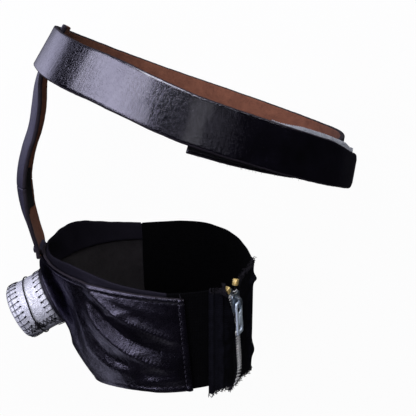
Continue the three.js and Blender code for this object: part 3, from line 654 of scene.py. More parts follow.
def grain_group():
    """Leather grain: irregular pebbles with fine pores between them."""
    n, given, out = group("leather_grain", ("Pebbles", "Wrinkle"), ("Height", "Pore", "Patch"))
    place, pebbles, wrinkle = given[:3]
    push = n.add("TexNoise", Vector=place, Scale=420.0, Detail=2.0).outputs[1]
    pushed = n.joined("VectorMath", {"operation": "MULTIPLY_ADD"}, push, (0.0011,) * 3, place)[0]
    cells = n.add("TexVoronoi", {"feature": "DISTANCE_TO_EDGE"}, Vector=pushed, Scale=pebbles).outputs[0]
    pebble = n.span(cells, 0.0, 0.22)
    lines = n.span(n.off_middle(n.noise(place, 230.0, 4.0, 0.55, 0.8)), 0.0, 0.06)
    fine = n.noise(place, 5200.0, 3.0, 0.6)
    n.join(n.total(n.times(pebble, 0.7), (fine, 0.35), (n.times(lines, wrinkle), 0.9)), out[0])
    n.join(n.math("SUBTRACT", 1.0, pebble), out[1])
    n.join(n.span(n.noise(place, 60.0, 3.0, 0.6), 0.3, 0.7), out[2])
    return n.tree


def weave_group():
    """Woven tape: ribs along one way, crossed by finer threads, on the flat map."""
    n, given, out = group("weave", ("Ribs", "Picks"), ("Height",))
    flat, ribs, picks = given[:3]
    x, y = n.add("SeparateXYZ", Vector=flat).outputs[:2]
    ribs = n.math("SINE", n.times(n.times(x, ribs), 2 * math.pi))
    picks = n.math("SINE", n.total(n.times(n.times(y, picks), 2 * math.pi), (ribs, 1.3)))
    fuzz = n.noise(flat, 900.0, 3.0, 0.7)
    n.join(n.total(n.times(ribs, 0.5), (picks, 0.35), (fuzz, 0.5)), out[0])
    return n.tree


GRAIN = grain_group()
WEAVE = weave_group()


def leather(
    name, dark, light, rough, pebbles, wrinkle, depth, coat=0.0, metal=0.0, specular=0.5, tint=(0.80, 0.76, 1.0),
    painted_shade_round=None,
):
    n = Finish(name)
    # Within 22 to 46 mm of the drum's foot the leather turns metallic with its near-black colour, which darkens its
    # reflections there: painted shade round the drum.
    if painted_shade_round is not None:
        metal = n.span(n.away(painted_shade_round), 0.022, 0.046, 1.0, metal)
    grain = n.add("Group", {"node_tree": GRAIN}, Vector=n.place, Pebbles=pebbles, Wrinkle=wrinkle).outputs
    colour = n.mix(grain["Patch"], dark, light)
    colour = n.mix(n.times(grain["Pore"], 0.55), colour, [c * 0.45 for c in dark])
    return n.shader(
        grain["Height"], depth, Base_Color=colour, Metallic=metal, Specular_IOR_Level=specular, Specular_Tint=tint,
        Roughness=n.total(n.span(grain["Patch"], 0, 1, *rough), (grain["Pore"], 0.12)),
        Coat_Weight=coat, Coat_Roughness=0.22,
    )


def glazed(name, dark, light, rough, depth):
    """Glazed strap leather: grain, a mottle of polish and faint streaks across the strap, on the flat map."""
    n = Finish(name)
    grain = n.add("Group", {"node_tree": GRAIN}, Vector=n.place, Pebbles=1150.0, Wrinkle=0.4).outputs
    mottle = n.noise(n.place, 520.0, 4.0, 0.65, 0.6)
    streak = n.stretched(75.0, 5.0, 4.0, 0.6)
    cloud = n.stretched(6.0, 4.0, 3.0, 0.55)
    shine = n.total(n.times(mottle, 0.45), (streak, 0.3), (cloud, 0.45))
    scratch = n.span(n.off_middle(n.stretched(30.0, 110.0, 2.0, 0.4, 0.6)), 0.0, 0.006, 1.0, 0.0)
    scratch = n.times(scratch, n.span(cloud, 0.55, 0.62))
    colour = n.mix(n.times(scratch, 0.6), n.mix(grain["Patch"], dark, light), [c * 8 for c in light])
    return n.shader(
        n.total(n.times(grain["Height"], 0.35), (mottle, 1.3), (streak, 1.1)), depth, Base_Color=colour,
        Roughness=n.span(shine, 0.42, 0.78, *rough), Specular_IOR_Level=1.0, Specular_Tint=(0.88, 0.86, 1.0),
        Coat_Weight=n.span(shine, 0.42, 0.78, 0.7, 0.2), Coat_Roughness=0.1,
    )


def woven(name, dark, light, ribs, picks, depth, rough, sheen):
    n = Finish(name)
    weave = n.add("Group", {"node_tree": WEAVE}, Vector=n.flat, Ribs=ribs, Picks=picks).outputs["Height"]
    patch = n.noise(n.place, 240.0, 3.0, 0.6)
    return n.shader(
        weave, depth, Base_Color=n.mix(n.span(n.total(patch, (weave, 0.4)), 0.3, 0.9), dark, light),
        Roughness=n.span(patch, 0.3, 0.7, rough - 0.06, rough + 0.06),
        Specular_IOR_Level=0.05, Sheen_Weight=sheen, Sheen_Roughness=0.5,
    )


def fibrous(name, dark, light, scale, depth, rough, sheen):
    n = Finish(name)
    tuft = n.noise(n.place, scale, 4.0, 0.75, 1.2)
    patch = n.noise(n.place, scale / 7, 3.0, 0.6)
    return n.shader(
        tuft, depth, Base_Color=n.mix(n.span(n.total(tuft, (patch, 0.6)), 0.55, 1.05), dark, light),
        Roughness=n.span(patch, 0.3, 0.7, rough - 0.08, rough),
        Specular_IOR_Level=0.15, Sheen_Weight=sheen, Sheen_Roughness=0.6,
    )


def metal(name, dark, light, rough, wear, metallic, depth=0.00002):
    n = Finish(name)
    cloud = n.noise(n.place, 900.0, 4.0, 0.65)
    pits = n.noise(n.place, 4200.0, 2.0, 0.5)
    colour = n.mix(n.span(cloud, 0.3, 0.7), dark, light)
    return n.shader(
        n.total(cloud, (pits, 0.6)), depth, Base_Color=n.mix(n.span(pits, 0.62, 0.75, 0.0, 0.6), colour, wear),
        Metallic=metallic, Roughness=n.span(cloud, 0.3, 0.7, *rough),
    )


# The cup leather has painted shade round the drum's foot.
cup_leather = leather(
    "cup_leather", (0.001, 0.0007, 0.0018), (0.003, 0.0021, 0.0055), (0.18, 0.28), 1150.0, 0.25, 0.000055, 0.15,
    specular=0.95, painted_shade_round=tuple(to_model((-84, -36, 8))),
)
strap_leather = glazed("strap_leather", (0.0012, 0.001, 0.002), (0.003, 0.0025, 0.005), (0.08, 0.19), 0.00008)
nose_leather = leather(
    "nose_strap_leather", (0.024, 0.022, 0.040), (0.044, 0.041, 0.068), (0.36, 0.48), 1100.0, 0.3, 0.00006, 0.2,
    specular=0.6,
)
facing_leather = leather(
    "facing_leather", (0.003, 0.0025, 0.005), (0.006, 0.005, 0.009), (0.55, 0.7), 1300.0, 0.5, 0.00006, specular=0.3,
)
flange_leather = leather(
    "flange_leather", (0.003, 0.0026, 0.004), (0.008, 0.007, 0.010), (0.4, 0.55), 1100.0, 0.4, 0.00007,
)
silver_leather = leather(
    "silver_leather", (0.80, 0.82, 0.92), (0.96, 0.97, 1.0), (0.26, 0.42), 900.0, 1.0, 0.00013, 0.4, metal=0.22,
    tint=(1, 1, 1),
)
cut_edge = fibrous("cut_leather_edge", (0.006, 0.005, 0.008), (0.028, 0.022, 0.030), 1400.0, 0.0001, 0.8, 0.02)
flesh_side = fibrous("flesh_side", (0.10, 0.036, 0.022), (0.24, 0.095, 0.055), 1100.0, 0.00012, 0.92, 0.05)
suede_black = fibrous("cup_flesh_side", (0.006, 0.005, 0.006), (0.022, 0.019, 0.021), 1100.0, 0.00012, 0.94, 0.05)
thread_black = fibrous("black_thread", (0.003, 0.0025, 0.004), (0.014, 0.012, 0.018), 2600.0, 0.00005, 0.7, 0.02)
thread_grey = fibrous("stitch_thread", (0.012, 0.011, 0.017), (0.046, 0.041, 0.058), 2600.0, 0.00005, 0.65, 0.03)
fuzzy_black = fibrous("closure_pile", (0.002, 0.002, 0.003), (0.010, 0.010, 0.012), 1500.0, 0.0003, 0.97, 0.03)
hook_grey = fibrous("hook_plastic", (0.16, 0.17, 0.20), (0.5, 0.52, 0.57), 1800.0, 0.0002, 0.7, 0.02)
bead_black = fibrous("zip_cord", (0.003, 0.003, 0.004), (0.010, 0.010, 0.013), 1800.0, 0.00012, 0.9, 0.02)
elastic_black = woven(
    "black_elastic", (0.0004, 0.0004, 0.0006), (0.0018, 0.0018, 0.0024), 110.0, 60.0, 0.00012, 0.9, 0.003,
)
tape_black = woven("zip_tape", (0.0008, 0.0008, 0.0014), (0.006, 0.006, 0.0095), 120.0, 90.0, 0.00010, 0.9, 0.005)
tooth_metal = metal("zip_teeth", (0.92, 0.92, 0.92), (1.0, 1.0, 1.0), (0.25, 0.35), (0.8, 0.8, 0.8), 0.3, 0.000005)
# The slider and the pull are one metal in two copies: the slider's darker, more metallic copy is painted shade and the
# pull's lighter, less metallic copy is painted light.
slider_metal = metal("zip_slider", (0.20, 0.25, 0.30), (0.42, 0.48, 0.54), (0.25, 0.4), (0.6, 0.62, 0.64), 0.9)
pull_metal = metal("zip_pull", (0.62, 0.74, 0.88), (0.82, 0.92, 0.98), (0.3, 0.42), (0.9, 0.93, 0.95), 0.3)
brass_metal = metal("brass_stop", (0.75, 0.48, 0.12), (0.98, 0.80, 0.36), (0.2, 0.32), (1, 0.92, 0.62), 0.55)


# Camera and light

CAMERA_AT = (-48.62, 95.02, 306.97)
PHOTO_PIXELS, FOCAL_PIXELS, SENSOR = 416, 550, 36
camera_data = bpy.data.cameras.new("camera")
camera_data.sensor_width = SENSOR
camera_data.lens = FOCAL_PIXELS / PHOTO_PIXELS * SENSOR
camera_data.clip_start = 0.01
camera = in_scene("camera", camera_data)
bpy.context.scene.camera = camera


def aimed(obj, place, target, upward=(0, 1, 0)):
    place, target = Vector(to_model(place)), Vector(to_model(target))
    back = (place - target).normalized()
    right = Vector(upward).cross(back).normalized()
    turn = Matrix((right, back.cross(right), back)).transposed()
    obj.matrix_world = Matrix.Translation(place) @ turn.to_4x4()


aimed(camera, CAMERA_AT, (0, 0, 0))
LAMP_TARGET, LAMP_DISTANCE = np.array((-20.0, 0, 0)), 700


def lamp(name, azimuth, elevation, width, height, radiance, colour=(1, 1, 1)):
    """A softbox: azimuth 0 is at the image's left and 90 at its top, elevation 90 is towards the camera."""
    turn, lift = math.radians(azimuth), math.radians(elevation)
    way = np.array((-math.cos(turn) * math.cos(lift), math.sin(turn) * math.cos(lift), math.sin(lift)))
    data = bpy.data.lights.new(name, "AREA")
    data.shape = "RECTANGLE"
    data.size, data.size_y = width, height
    data.energy = radiance * math.pi * width * height
    data.color = colour
    aimed(in_scene(name, data), LAMP_TARGET + way * LAMP_DISTANCE, LAMP_TARGET, (0, 0, 1))


lamp("left_softbox", 46, 35, 0.30, 0.70, 4.5, (0.84, 0.83, 1.0))
lamp("fold_softbox", 2, 44, 0.20, 0.28, 8.0, (0.86, 0.84, 1.0))
lamp("crown_softbox", 88, 40, 0.34, 0.20, 9.0, (0.94, 0.94, 1.0))
lamp("crown_edge_softbox", 95, 8, 0.34, 0.15, 7.0)
lamp("rear_softbox", 135, 25, 0.20, 0.20, 6.0)
lamp("overhead_softbox", 110, 69, 0.08, 0.17, 1.4, (0.92, 0.92, 1.0))
lamp("foot_softbox", -95, 14, 0.5, 0.35, 0.3, (0.92, 0.9, 1.0))

# What the camera sees of the floor and the backdrop is brighter than what the leather reflects of them, but for two
# pools of light painted on the floor
DIM = 0.008
world = bpy.data.worlds.new("studio")
world.use_nodes = True
sky = Finish("studio", world.node_tree)
backdrop = world.node_tree.nodes["Background"].inputs
sky.join((0.985, 0.987, 1), backdrop["Color"])
sky.join(sky.span(sky.add("LightPath").outputs["Is Camera Ray"], 0, 1, DIM, 0.98), backdrop["Strength"])
bpy.context.scene.world = world
bpy.context.scene.view_settings.view_transform = "Standard"

floor_bm = bmesh.new()
bmesh.ops.create_grid(floor_bm, x_segments=1, y_segments=1, size=6)
floor_mesh = bpy.data.meshes.new("floor")
floor_bm.to_mesh(floor_mesh)
floor_bm.free()
floor = in_scene("floor", floor_mesh)
pale = Finish("pale_floor")
glow = DIM
# Two pools of light painted on the floor as glow, which lights the leather and shows in its reflections but not to the
# camera.
for centre, reach, radiance in (((-0.22, 0.15, 0), 0.15, 1.8), ((-0.31, -0.39, 0), 0.19, 1.9)):
    glow = pale.math("ADD", glow, pale.span(pale.away(centre), 0.05, reach, radiance, 0.0))
seen = pale.add("LightPath").outputs["Is Camera Ray"]
floor_mesh.materials.append(pale.shader(
    Base_Color=(0.03, 0.03, 0.032), Roughness=0.9, Specular_IOR_Level=0.0,
    Emission_Color=pale.mix(seen, (0.76, 0.75, 1), (1, 1, 1)),
    Emission_Strength=pale.total(pale.times(glow, pale.math("SUBTRACT", 1.0, seen)), (seen, 0.96)),
))


# Head strap and its closure

random.seed(7)


def strap_half(distance):
    half = STRAP_WIDTH / 2 - END_TAPER * smooth(distance, band.length - END_TAPER_LENGTH, band.length)
    corner = np.clip((distance - (band.length - END_RADIUS)) / END_RADIUS, 0, 1)
    return half - END_RADIUS * (1 - np.sqrt(1 - corner**2))


def strap_edge(distance, seed):
    """A knife-cut edge: long wander and short facets."""
    return 0.22 * wander(distance * 0.09, seed) + 0.12 * wander(distance * 0.45, seed, 3.1)


def strap_surface(distance, across, offset):
    rise = 0.35 * wander(distance * 0.028, 8.2) + 0.18 * wander(distance * 0.1, across * 0.09, 4.4)
    return on_band(distance, across, offset + rise)


def make_strap():
    corner = band.length - END_RADIUS * (1 - np.sin(np.linspace(0.02, 1, 16) * math.pi / 2))
    run = np.concatenate((stretch(0, band.length - END_RADIUS, 430)[:-4], corner))
    half = strap_half(run)
    thick = STRAP_THICK * (1 - 0.35 * smooth(run, band.length - 3.4, band.length - 0.6))
    sheet(
        "head_strap", strap_surface, run, -half - strap_edge(run, 1.7), half + strap_edge(run, 5.9), thick,
        [strap_leather, flesh_side, cut_edge], steps=(18, 6), soft=0.55, node="headband_strap", slot="leather",
    )


def make_closure():
    offset, half = (STRAP_THICK + PATCH_THICK) / 2, PATCH_WIDTH / 2
    run = stretch(PATCH_INSET - 3.5, PATCH_INSET + PATCH_LENGTH, 90)
    fray = 0.5 * wander(run * 0.7, 2.2)
    sheet(
        "loop_patch_pile", lambda d, a, o: on_band(d, a, o + offset), run, fray - half, half - fray, PATCH_THICK,
        fuzzy_black, steps=(10, 4), soft=0.9, node="loop_patch", slot="closure_patch",
    )
    start = band.length - PATCH_INSET - PATCH_LENGTH
    run = stretch(start, start + PATCH_LENGTH, 90)
    teeth = 0.7 * (np.arange(len(run)) % 2) + 1.3 * smooth(run - start, 4, 20) * (1 - smooth(run - start, 52, 60))
    sheet(
        "hook_patch_strip", lambda d, a, o: on_band(d, a, o - offset), run, -half - 0.2 * teeth, half + teeth + 1.7,
        PATCH_THICK, hook_grey, steps=(8, 4), soft=0.5, node="hook_patch", slot="closure_patch",
    )
    pile = []
    steps = np.linspace(0, 1, 5)
    for _ in range(260):
        edge = random.choice((-1, -1, 1))
        end = random.random() < 0.45
        distance = random.uniform(-0.5, 1.5) if end else random.uniform(0, PATCH_LENGTH)
        across = random.uniform(-half, half) if end else edge * half
        lift = offset + random.uniform(-0.5, 0.6)
        reach = random.uniform(0.8, 2.4)
        lean = random.uniform(-1, 1)
        straight, sideways = reach * steps, lean * reach * steps * 0.5
        along = distance - (straight if end else sideways)
        over = across + (sideways if end else edge * straight)
        pile.append(on_band(along, over, lift + 0.5 * lean * steps**2))
    strands("loop_patch_fibres", pile, 0.09, fuzzy_black, 0, 0.6, slot="closure_patch")


make_strap()
make_closure()


# Cup, facing and their stitching

TOP_STITCH, HEM_STITCH, SEAM_STITCH = 3.1, 3.4, 3.2  # from the cup's edges
FACING_WIDTH, FACING_THICK, FACING_GAP, FACING_PROUD, FACING_SWELL = 11, 1.2, 0.3, 1.5, 3.5
SEAM_END = 0.45  # the facing ends this far before the elastic


def cup_height(distance):
    return cup_top(distance) - cup_hem(distance)


def cup_relief(distance, v):
    """Folded edges, the sunk lines of stitching and shallow creases, in mm out of the leather."""
    height = cup_height(distance)
    to_top, to_hem, to_seam = (1 - v) * height, v * height, CUP_HALF - np.abs(distance)
    rise = 0.75 * hump(to_top, 1.5, 0.95) + 0.32 * hump(to_hem, 1.5, 1.2) + 0.45 * hump(to_seam, 1.6, 1.1)
    for edge, stitch, spread in ((to_top, TOP_STITCH, 0.55), (to_hem, HEM_STITCH, 0.6), (to_seam, SEAM_STITCH, 0.6)):
        rise -= 0.22 * hump(edge, stitch, spread)
    slanted = distance * 0.8 + v * 20
    rise += 0.28 * wander(distance * 0.055, v * 5.0, 1.3) + 0.14 * wander(slanted * 0.25, v * 4 - distance * 0.02, 7.7)
    return rise + 0.09 * wander(distance * 0.45, v * 26, 2.9)


def cup_surface(distance, v, offset):
    return on_cup(distance, v, offset + cup_relief(distance, np.clip(v, 0, 1)))


def make_cup():
    run = stretch(-CUP_HALF, CUP_HALF, 440)
    sheet(
        "cup", shelled(cup_surface), run, 0, 1, LEATHER, [cup_leather, suede_black, cut_edge],
        scale=cup_height(run), steps=(96, 8), soft=0.95, node="mask_body", slot="leather",
    )
    ends = CUP_HALF - SEAM_LAP - SEAM_END
    run = stretch(-ends, ends, 300)
    height = cup_top(run) - SIDE_HEM
    proud = FACING_PROUD + FACING_SWELL * hump(np.abs(run), 38, 22) + 0.25 * wander(run * 0.16, 6.1)
    inside = shelled(on_cup, -(LEATHER + FACING_THICK) / 2 - FACING_GAP)
    sheet(
        "top_facing_strip", inside, run, 1 - FACING_WIDTH / height, 1 + proud / height, FACING_THICK,
        facing_leather, scale=height, steps=(12, 5), soft=0.8, node="top_facing", slot="facing",
    )


def make_cup_stitches():
    level = LEATHER / 2 + 0.12
    runs = []
    for distance in np.arange(-92, 92.1, 3.0):
        height = float(cup_height(np.array([distance]))[0])
        runs += [(distance, v, level) for v in (1 - TOP_STITCH / height, HEM_STITCH / height)]
    rows = [frames_along(cup_surface, runs)]
    for side in (-1, 1):
        places = [(side * (CUP_HALF - SEAM_STITCH), v, level) for v in np.linspace(0.07, 0.94, 18)]
        rows.append(frames_along(cup_surface, places, math.pi / 2))
    stitches("cup_stitches", rows, (2.3, 0.5, 0.42), thread_grey)
    steps = np.linspace(0, 1, 7)
    loose = cup_surface(CUP_HALF - 1.2 - 0.8 * steps, 0.985 + 0.07 * steps, 0.9 + 0.5 * np.sin(steps * 3))
    strands("loose_thread", [loose], 0.28, thread_black, 1, 0.4, slot="cord")


make_cup()
make_cup_stitches()


# Elastic and tapes


def elastic_surface(distance, height, lift):
    position, _, outward = on_ring(distance)
    inside = -(LEATHER + ELASTIC_THICK) / 2 - 0.1
    wave = 0.35 * wander(distance * 0.06, height * 0.05, 9.3)
    position = position + outward * (inside + lift + wave)[:, None]
    position[:, 1] = height
    return position


def make_elastic():
    reach = ROW_HALF + TAPE_WIDTH - TAPE_LAP
    for node, start, end, steps in (
        ("elastic_left", CUP_HALF - SEAM_LAP - 0.7, CHAIN_DISTANCE - reach, 70),
        ("elastic_right", CHAIN_DISTANCE + reach, ring.length - CUP_HALF + SEAM_LAP, 200),
    ):
        run = stretch(start, end, steps)
        low, high = (level + 0.4 * wander(run * 0.08, seed) for level, seed in ((ELASTIC_HEM, 3.3), (ELASTIC_TOP, 8.8)))
        sheet(
            node + "_panel", elastic_surface, run, low, high, ELASTIC_THICK, elastic_black,
            steps=(40, 5), soft=0.9, node=node, slot="elastic",
        )


def tape_surface(side):
    """A tape by share of its width, 0 at the elastic and 1 at the teeth, and by height."""

    def place(share, height, lift):
        above = smooth(height, *TAPE_PART)
        under = 0.9 + 1.65 * (1 - smooth(height, -62, -56))
        across = side * (ROW_HALF + TAPE_WIDTH * (1 - share) - under * share + 2.4 * above * share)
        position, _, outward = on_ring(CHAIN_DISTANCE + across)
        position = position + outward * (ZIP_OFFSET + lift)[:, None]
        position[:, 1] = height
        beside = smooth(share, 0.62, 0.95)
        tuck = 1.1 * (1 - smooth(height, -60, -54)) * beside
        puff = 1.3 * smooth(height, -57, -50) * (1 - smooth(height, -42, -37)) * beside if side < 0 else 0
        flat = on_zip(across + row_shift(side, height) * share, height, lift - tuck + puff)
        blend = smooth(share, 0.3, 0.85)[:, None]
        ridge = 1.1 * hump(share, 0.4 + 0.02 * wander(height * 0.15, side), 0.05) + 0.6 * hump(share, 0.12, 0.05)
        ridge += 0.35 * wander(share * 6, height * 0.09, 2 + side)
        if side > 0:
            for rise, *spot in ((2.4, 0.2, 0.16, -31.5, 2.2), (1.6, 0.15, 0.16, -76, 4), (-1.0, 0.1, 0.2, -55, 12)):
                ridge += rise * hump(share, *spot[:2]) * hump(height, *spot[2:])
        return position * (1 - blend) + flat * blend + outward * ridge[:, None]

    return place


def tape_edges(side, share):
    """The heights of a tape's ragged top and hem."""
    if side < 0:
        top = NEAR_TAPE_TOP - 0.9 + 5.2 * hump(share, 0.7, 0.13) + 1.2 * hump(share, 0, 0.07) - share**4
    else:
        top = FAR_TAPE_TOP - 7 * share**2
    top = top + 0.8 * wander(share * 16, side) + 0.5 * wander(share * 45, side, 4.0)
    low = TAPE_HEM + 2.2 * np.sin(math.pi * share) ** 2
    return low + 0.7 * wander(share * 14, side + 5) + 0.4 * wander(share * 40, side + 5, 1.0), top


def make_tapes():
    steps = np.linspace(0, 1, 6)
    for side, node in ((-1, "zipper_tape_left"), (1, "zipper_tape_right")):
        surface = tape_surface(side)
        share = np.linspace(0, 1, 81)
        sheet(
            node + "_weave", surface, share, *tape_edges(side, share), TAPE_THICK, tape_black,
            steps=(80, 4), soft=0.9, node=node, slot="zip_tape",
        )
        frays = []
        for _ in range(260):
            upper = random.random() < 0.62
            share = random.random() ** 0.9
            low, top = tape_edges(side, np.array([share]))
            reach = random.uniform(0.8, 3.4) * (1 if upper else 0.8)
            bend, drift = random.uniform(-1, 1), random.uniform(-1, 1)
            heights = (top if upper else low) + (1 if upper else -1) * (reach * np.sin(steps * 1.9) - 0.8)
            shares = np.clip(share + 0.12 * bend * steps**1.5, 0, 1)
            frays.append(surface(shares, heights, random.uniform(-0.5, 0.6) + drift * 1.3 * steps**2))
        strands(node + "_fray", frays, 0.2, thread_black, 0, 0.5, slot="zip_tape")


make_elastic()
make_tapes()


# Zip chain, slider, pull and stops


def zip_lean(height):
    return math.atan(float(zip_line(height - 0.5) - zip_line(height + 0.5)))


def make_teeth():
    """Each tooth is an arm on its bead and a head past the zip's middle; the lowest ones are bigger and turned."""
    for side, node in ((-1, "teeth_left"), (1, "teeth_right")):
        start = CHAIN_BOTTOM + 0.4 + (PITCH / 2 if side > 0 else 0)
        bm = bmesh.new()
        for i in range(TEETH):
            height = start + i * PITCH
            middle = side * 0.95 + float(row_shift(side, height))
            foot = 1 - float(smooth(height, -88, -82.5))
            turn = 0.65 * foot + zip_lean(height) * 0.8
            wide, tall = 3.0 + 0.6 * foot, 0.4 + 0.3 * foot
            along = ZIP_ACROSS * math.cos(turn) + UP * math.sin(turn)
            rise = UP * math.cos(turn) - ZIP_ACROSS * math.sin(turn)
            for reach, width, out, depth in ((0, wide, 0.45, 0.42), (-side * (wide / 2 - 0.4), 0.8, 0.1, 1.0)):
                place = on_zip(middle, height, out) + along * reach
                matrix = block(place, (along, rise, ZIP_OUTWARD), (width, tall, depth))
                bmesh.ops.create_cube(bm, size=1, matrix=matrix)
        bevelled(bm, bm.edges[:], 0.00008, 1)
        soften(bm)
        finished(node + "_row", bm, tooth_metal, node=node, slot="zip_teeth", sharp=40)
        heights = np.linspace(start - 0.5, start + TEETH * PITCH + 0.8, 90)
        bead = on_zip(side * 2.2 + row_shift(side, heights), heights, -0.35)
        strands(node + "_cord", [bead], 0.55, bead_black, 2, slot="zip_tape")


def on_slider(points, height):
    """Places in a fitting's own flat frame, across, up and out, set on the zip at a height."""
    lean = zip_lean(height)
    x, y, z = np.asarray(points, float).T
    across = x * math.cos(lean) - y * math.sin(lean) + float(zip_line(height))
    return on_zip(across, x * math.sin(lean) + y * math.cos(lean) + height, z)


def window(half, low, high, corner):
    """A rounded opening's outline."""
    turns = [(half - corner, high - corner, 0), (corner - half, high - corner, 90),
             (corner - half, low + corner, 180), (half - corner, low + corner, 270)]
    turned_by = [(x, y, math.radians(start + k * 22.5)) for x, y, start in turns for k in range(5)]
    return [(x + corner * math.cos(angle), y + corner * math.sin(angle)) for x, y, angle in turned_by]


def make_pull():
    """A pressed tab: slot for the slider's bridge, waist, raised rib and an oblong hole near its end."""
    top = [(2.85, 0.1), (2.5, 0.45), (2.0, 0.55)]
    side = [(3.1, -0.4), (3.1, -2.5), (2.8, -8.0), (2.9, -12.0), (3.1, -18.4), (2.85, -19.0), (2.3, -19.45)]
    outline = top + [(-x, y) for x, y in top[::-1] + side] + side[::-1]
    bm = bmesh.new()
    edges = []
    for loop in (outline, window(1.6, -6.5, -0.75, 1.3), window(1.5, -17.6, -13.9, 1.35)):
        corners = [bm.verts.new((x, y, PULL_AXIS - PULL_THICK / 2)) for x, y in loop]
        edges += [bm.edges.new(pair) for pair in zip(corners, corners[1:] + corners[:1])]
    bmesh.ops.triangle_fill(bm, edges=edges, use_beauty=True, use_dissolve=True)
    raised = bmesh.ops.extrude_face_region(bm, geom=bm.faces[:])["geom"]
    bmesh.ops.translate(bm, vec=(0, 0, PULL_THICK), verts=[v for v in raised if isinstance(v, bmesh.types.BMVert)])
    rim = [e for e in bm.edges if len(e.link_faces) == 2 and e.calc_face_angle(0) > math.radians(50)
           and abs(e.verts[0].co.z - e.verts[1].co.z) < 1e-4]
    bevelled(bm, rim, 0.2, 3)
    at_rib = Matrix.Translation((0, -10.3, PULL_AXIS + PULL_THICK / 2)) @ Matrix.Diagonal((1.5, 4.6, 0.5, 1))
    rib = bmesh.ops.create_cube(bm, size=1, matrix=at_rib)["verts"]
    bevelled(bm, list({e for v in rib for e in v.link_edges}), 0.22, 2)
    put(bm, on_slider([v.co for v in bm.verts], SLIDER_MIDDLE))
    soften(bm)
    bmesh.ops.recalc_face_normals(bm, faces=bm.faces)
    finished("pull_tab", bm, pull_metal, node="zipper_pull", slot="zip_slider", body="pull", sharp=35)


make_teeth()
refined("slider", "zipper_slider", 0.22, slider_metal, "zip_slider")
make_pull()
refined("brass_stop_left", "top_stop_left", 0.45, brass_metal, "brass")
refined("brass_stop_right", "top_stop_right", 0.45, brass_metal, "brass")


# Nose strap


def nose_surface(distance, across, offset):
    return on_nose(distance, across, offset + 0.2 * wander(distance * 0.07, across * 0.1, 5.5))


def make_nose_strap():
    for name, node, start, end, steps in (
        ("nose_strap_lower", "front_strap_lower", 0.0, SPLICE - 0.05, 90),
        ("nose_strap_upper", "front_strap_upper", SPLICE + 0.05, nose_line.length - 1.2, 170),
    ):
        run = stretch(start, end, steps)
        half = NOSE_WIDTH / 2
        sheet(
            name, nose_surface, run, -half - strap_edge(run, 2.4), half + strap_edge(run, 7.3), NOSE_THICK,
            [nose_leather, flesh_side, cut_edge], steps=(26, 6), soft=0.6, node=node, slot="leather",
        )
    inside = -(NOSE_THICK + SPLICE_THICK) / 2
    run = stretch(*(nose_level(y) for y in SPLICE_PATCH), 40)
    sheet(
        "splice_backing", lambda d, a, o: on_nose(d, a, o + inside), run, -SPLICE_WIDTH / 2, SPLICE_WIDTH / 2,
        SPLICE_THICK, fuzzy_black, steps=(16, 4), soft=0.8, node="splice_patch", slot="closure_patch",
    )


def make_nose_strap_foot():
    """The strap's foot is rolled over the cup's top edge, where it is sewn down."""
    centre_x, centre_y, radius, roll = -98.0, -20.6, 2.3, 3.2
    run = roll * np.linspace(0, 1.62 * math.pi, 34)

    def place(distance, across, offset):
        turn, share = distance / roll, distance / run[-1]
        reach = radius * (1 - 0.32 * share) + offset
        arch = NOSE_FLAT * (2 * across / NOSE_WIDTH) ** 2 * 1.6
        x = centre_x - reach * np.cos(turn - 0.5) + arch + 0.25 * wander(across * 0.3, distance * 0.2, 6.0)
        y = centre_y + 2.6 * np.cos(turn * 0.5) * (1 - share) + reach * np.sin(turn - 0.5) * 1.15
        return np.stack((x, y, across), -1)

    half = 7.6 + 0.35 * wander(run * 0.6, 3.0)
    finishes = [nose_leather, flesh_side, cut_edge]
    sheet("nose_strap_roll", place, run, -half, half, 1.5, finishes, steps=(26, 6), slot="leather")


make_nose_strap()
make_nose_strap_foot()


# Drum

DRUM_RADIUS, DRUM_RIM_RADIUS, DRUM_LENGTH, DRUM_WALL = 16.7, 16.3, 18.5, 1.8
FLANGE_HOLE, FLANGE_THICK, DISC_THICK = 13.0, 2.4, 1.6
DRUM_UP = unit(UP - DRUM_AXIS * (DRUM_AXIS @ UP))
DRUM_NEAR = unit(LEFT - DRUM_AXIS * (DRUM_AXIS @ LEFT) - DRUM_UP * (DRUM_UP @ LEFT))
WALL_FOOT = FLANGE_THICK + GAP
WALL_TOP = WALL_FOOT + DRUM_LENGTH
SEAM_ANGLE, KNOT_ANGLE = math.radians(112), math.radians(103)
CORD_PLACE, CORD_AT = 0.58, 17.2


def on_drum(angle, radius, height):
    """A place on the drum: angle from its crown side towards the mask's left, radius, distance from its foot."""
    angle, radius, height = (np.asarray(a, float)[..., None] for a in np.broadcast_arrays(angle, radius, height))
    return DRUM_FOOT + DRUM_AXIS * height + (DRUM_UP * np.cos(angle) + DRUM_NEAR * np.sin(angle)) * radius


def spun(name, profile, dent, finish, sides, **words):
    """A profile of (radius, height) turned round the drum's axis; dent(angle, radius, height) moves its skin."""
    bm = bmesh.new()
    corners = [bm.verts.new((radius, 0, height)) for radius, height in profile]
    edges = [bm.edges.new(pair) for pair in zip(corners, corners[1:])]
    if profile[0][0] > 0:
        edges.append(bm.edges.new((corners[-1], corners[0])))
    bmesh.ops.spin(
        bm, geom=corners + edges, cent=(0, 0, 0), axis=(0, 0, 1), angle=2 * math.pi, steps=sides, use_merge=True,
    )
    bmesh.ops.remove_doubles(bm, verts=bm.verts, dist=1e-4)
    x, y, height = np.array([v.co for v in bm.verts]).T
    angle, radius = np.arctan2(y, x), np.hypot(x, y)
    push_out, push_up = dent(angle, radius, height)
    put(bm, on_drum(angle, radius + push_out, height + push_up))
    soften(bm)
    bmesh.ops.recalc_face_normals(bm, faces=bm.faces)
    finished(name, bm, finish, sharp=50, **words)


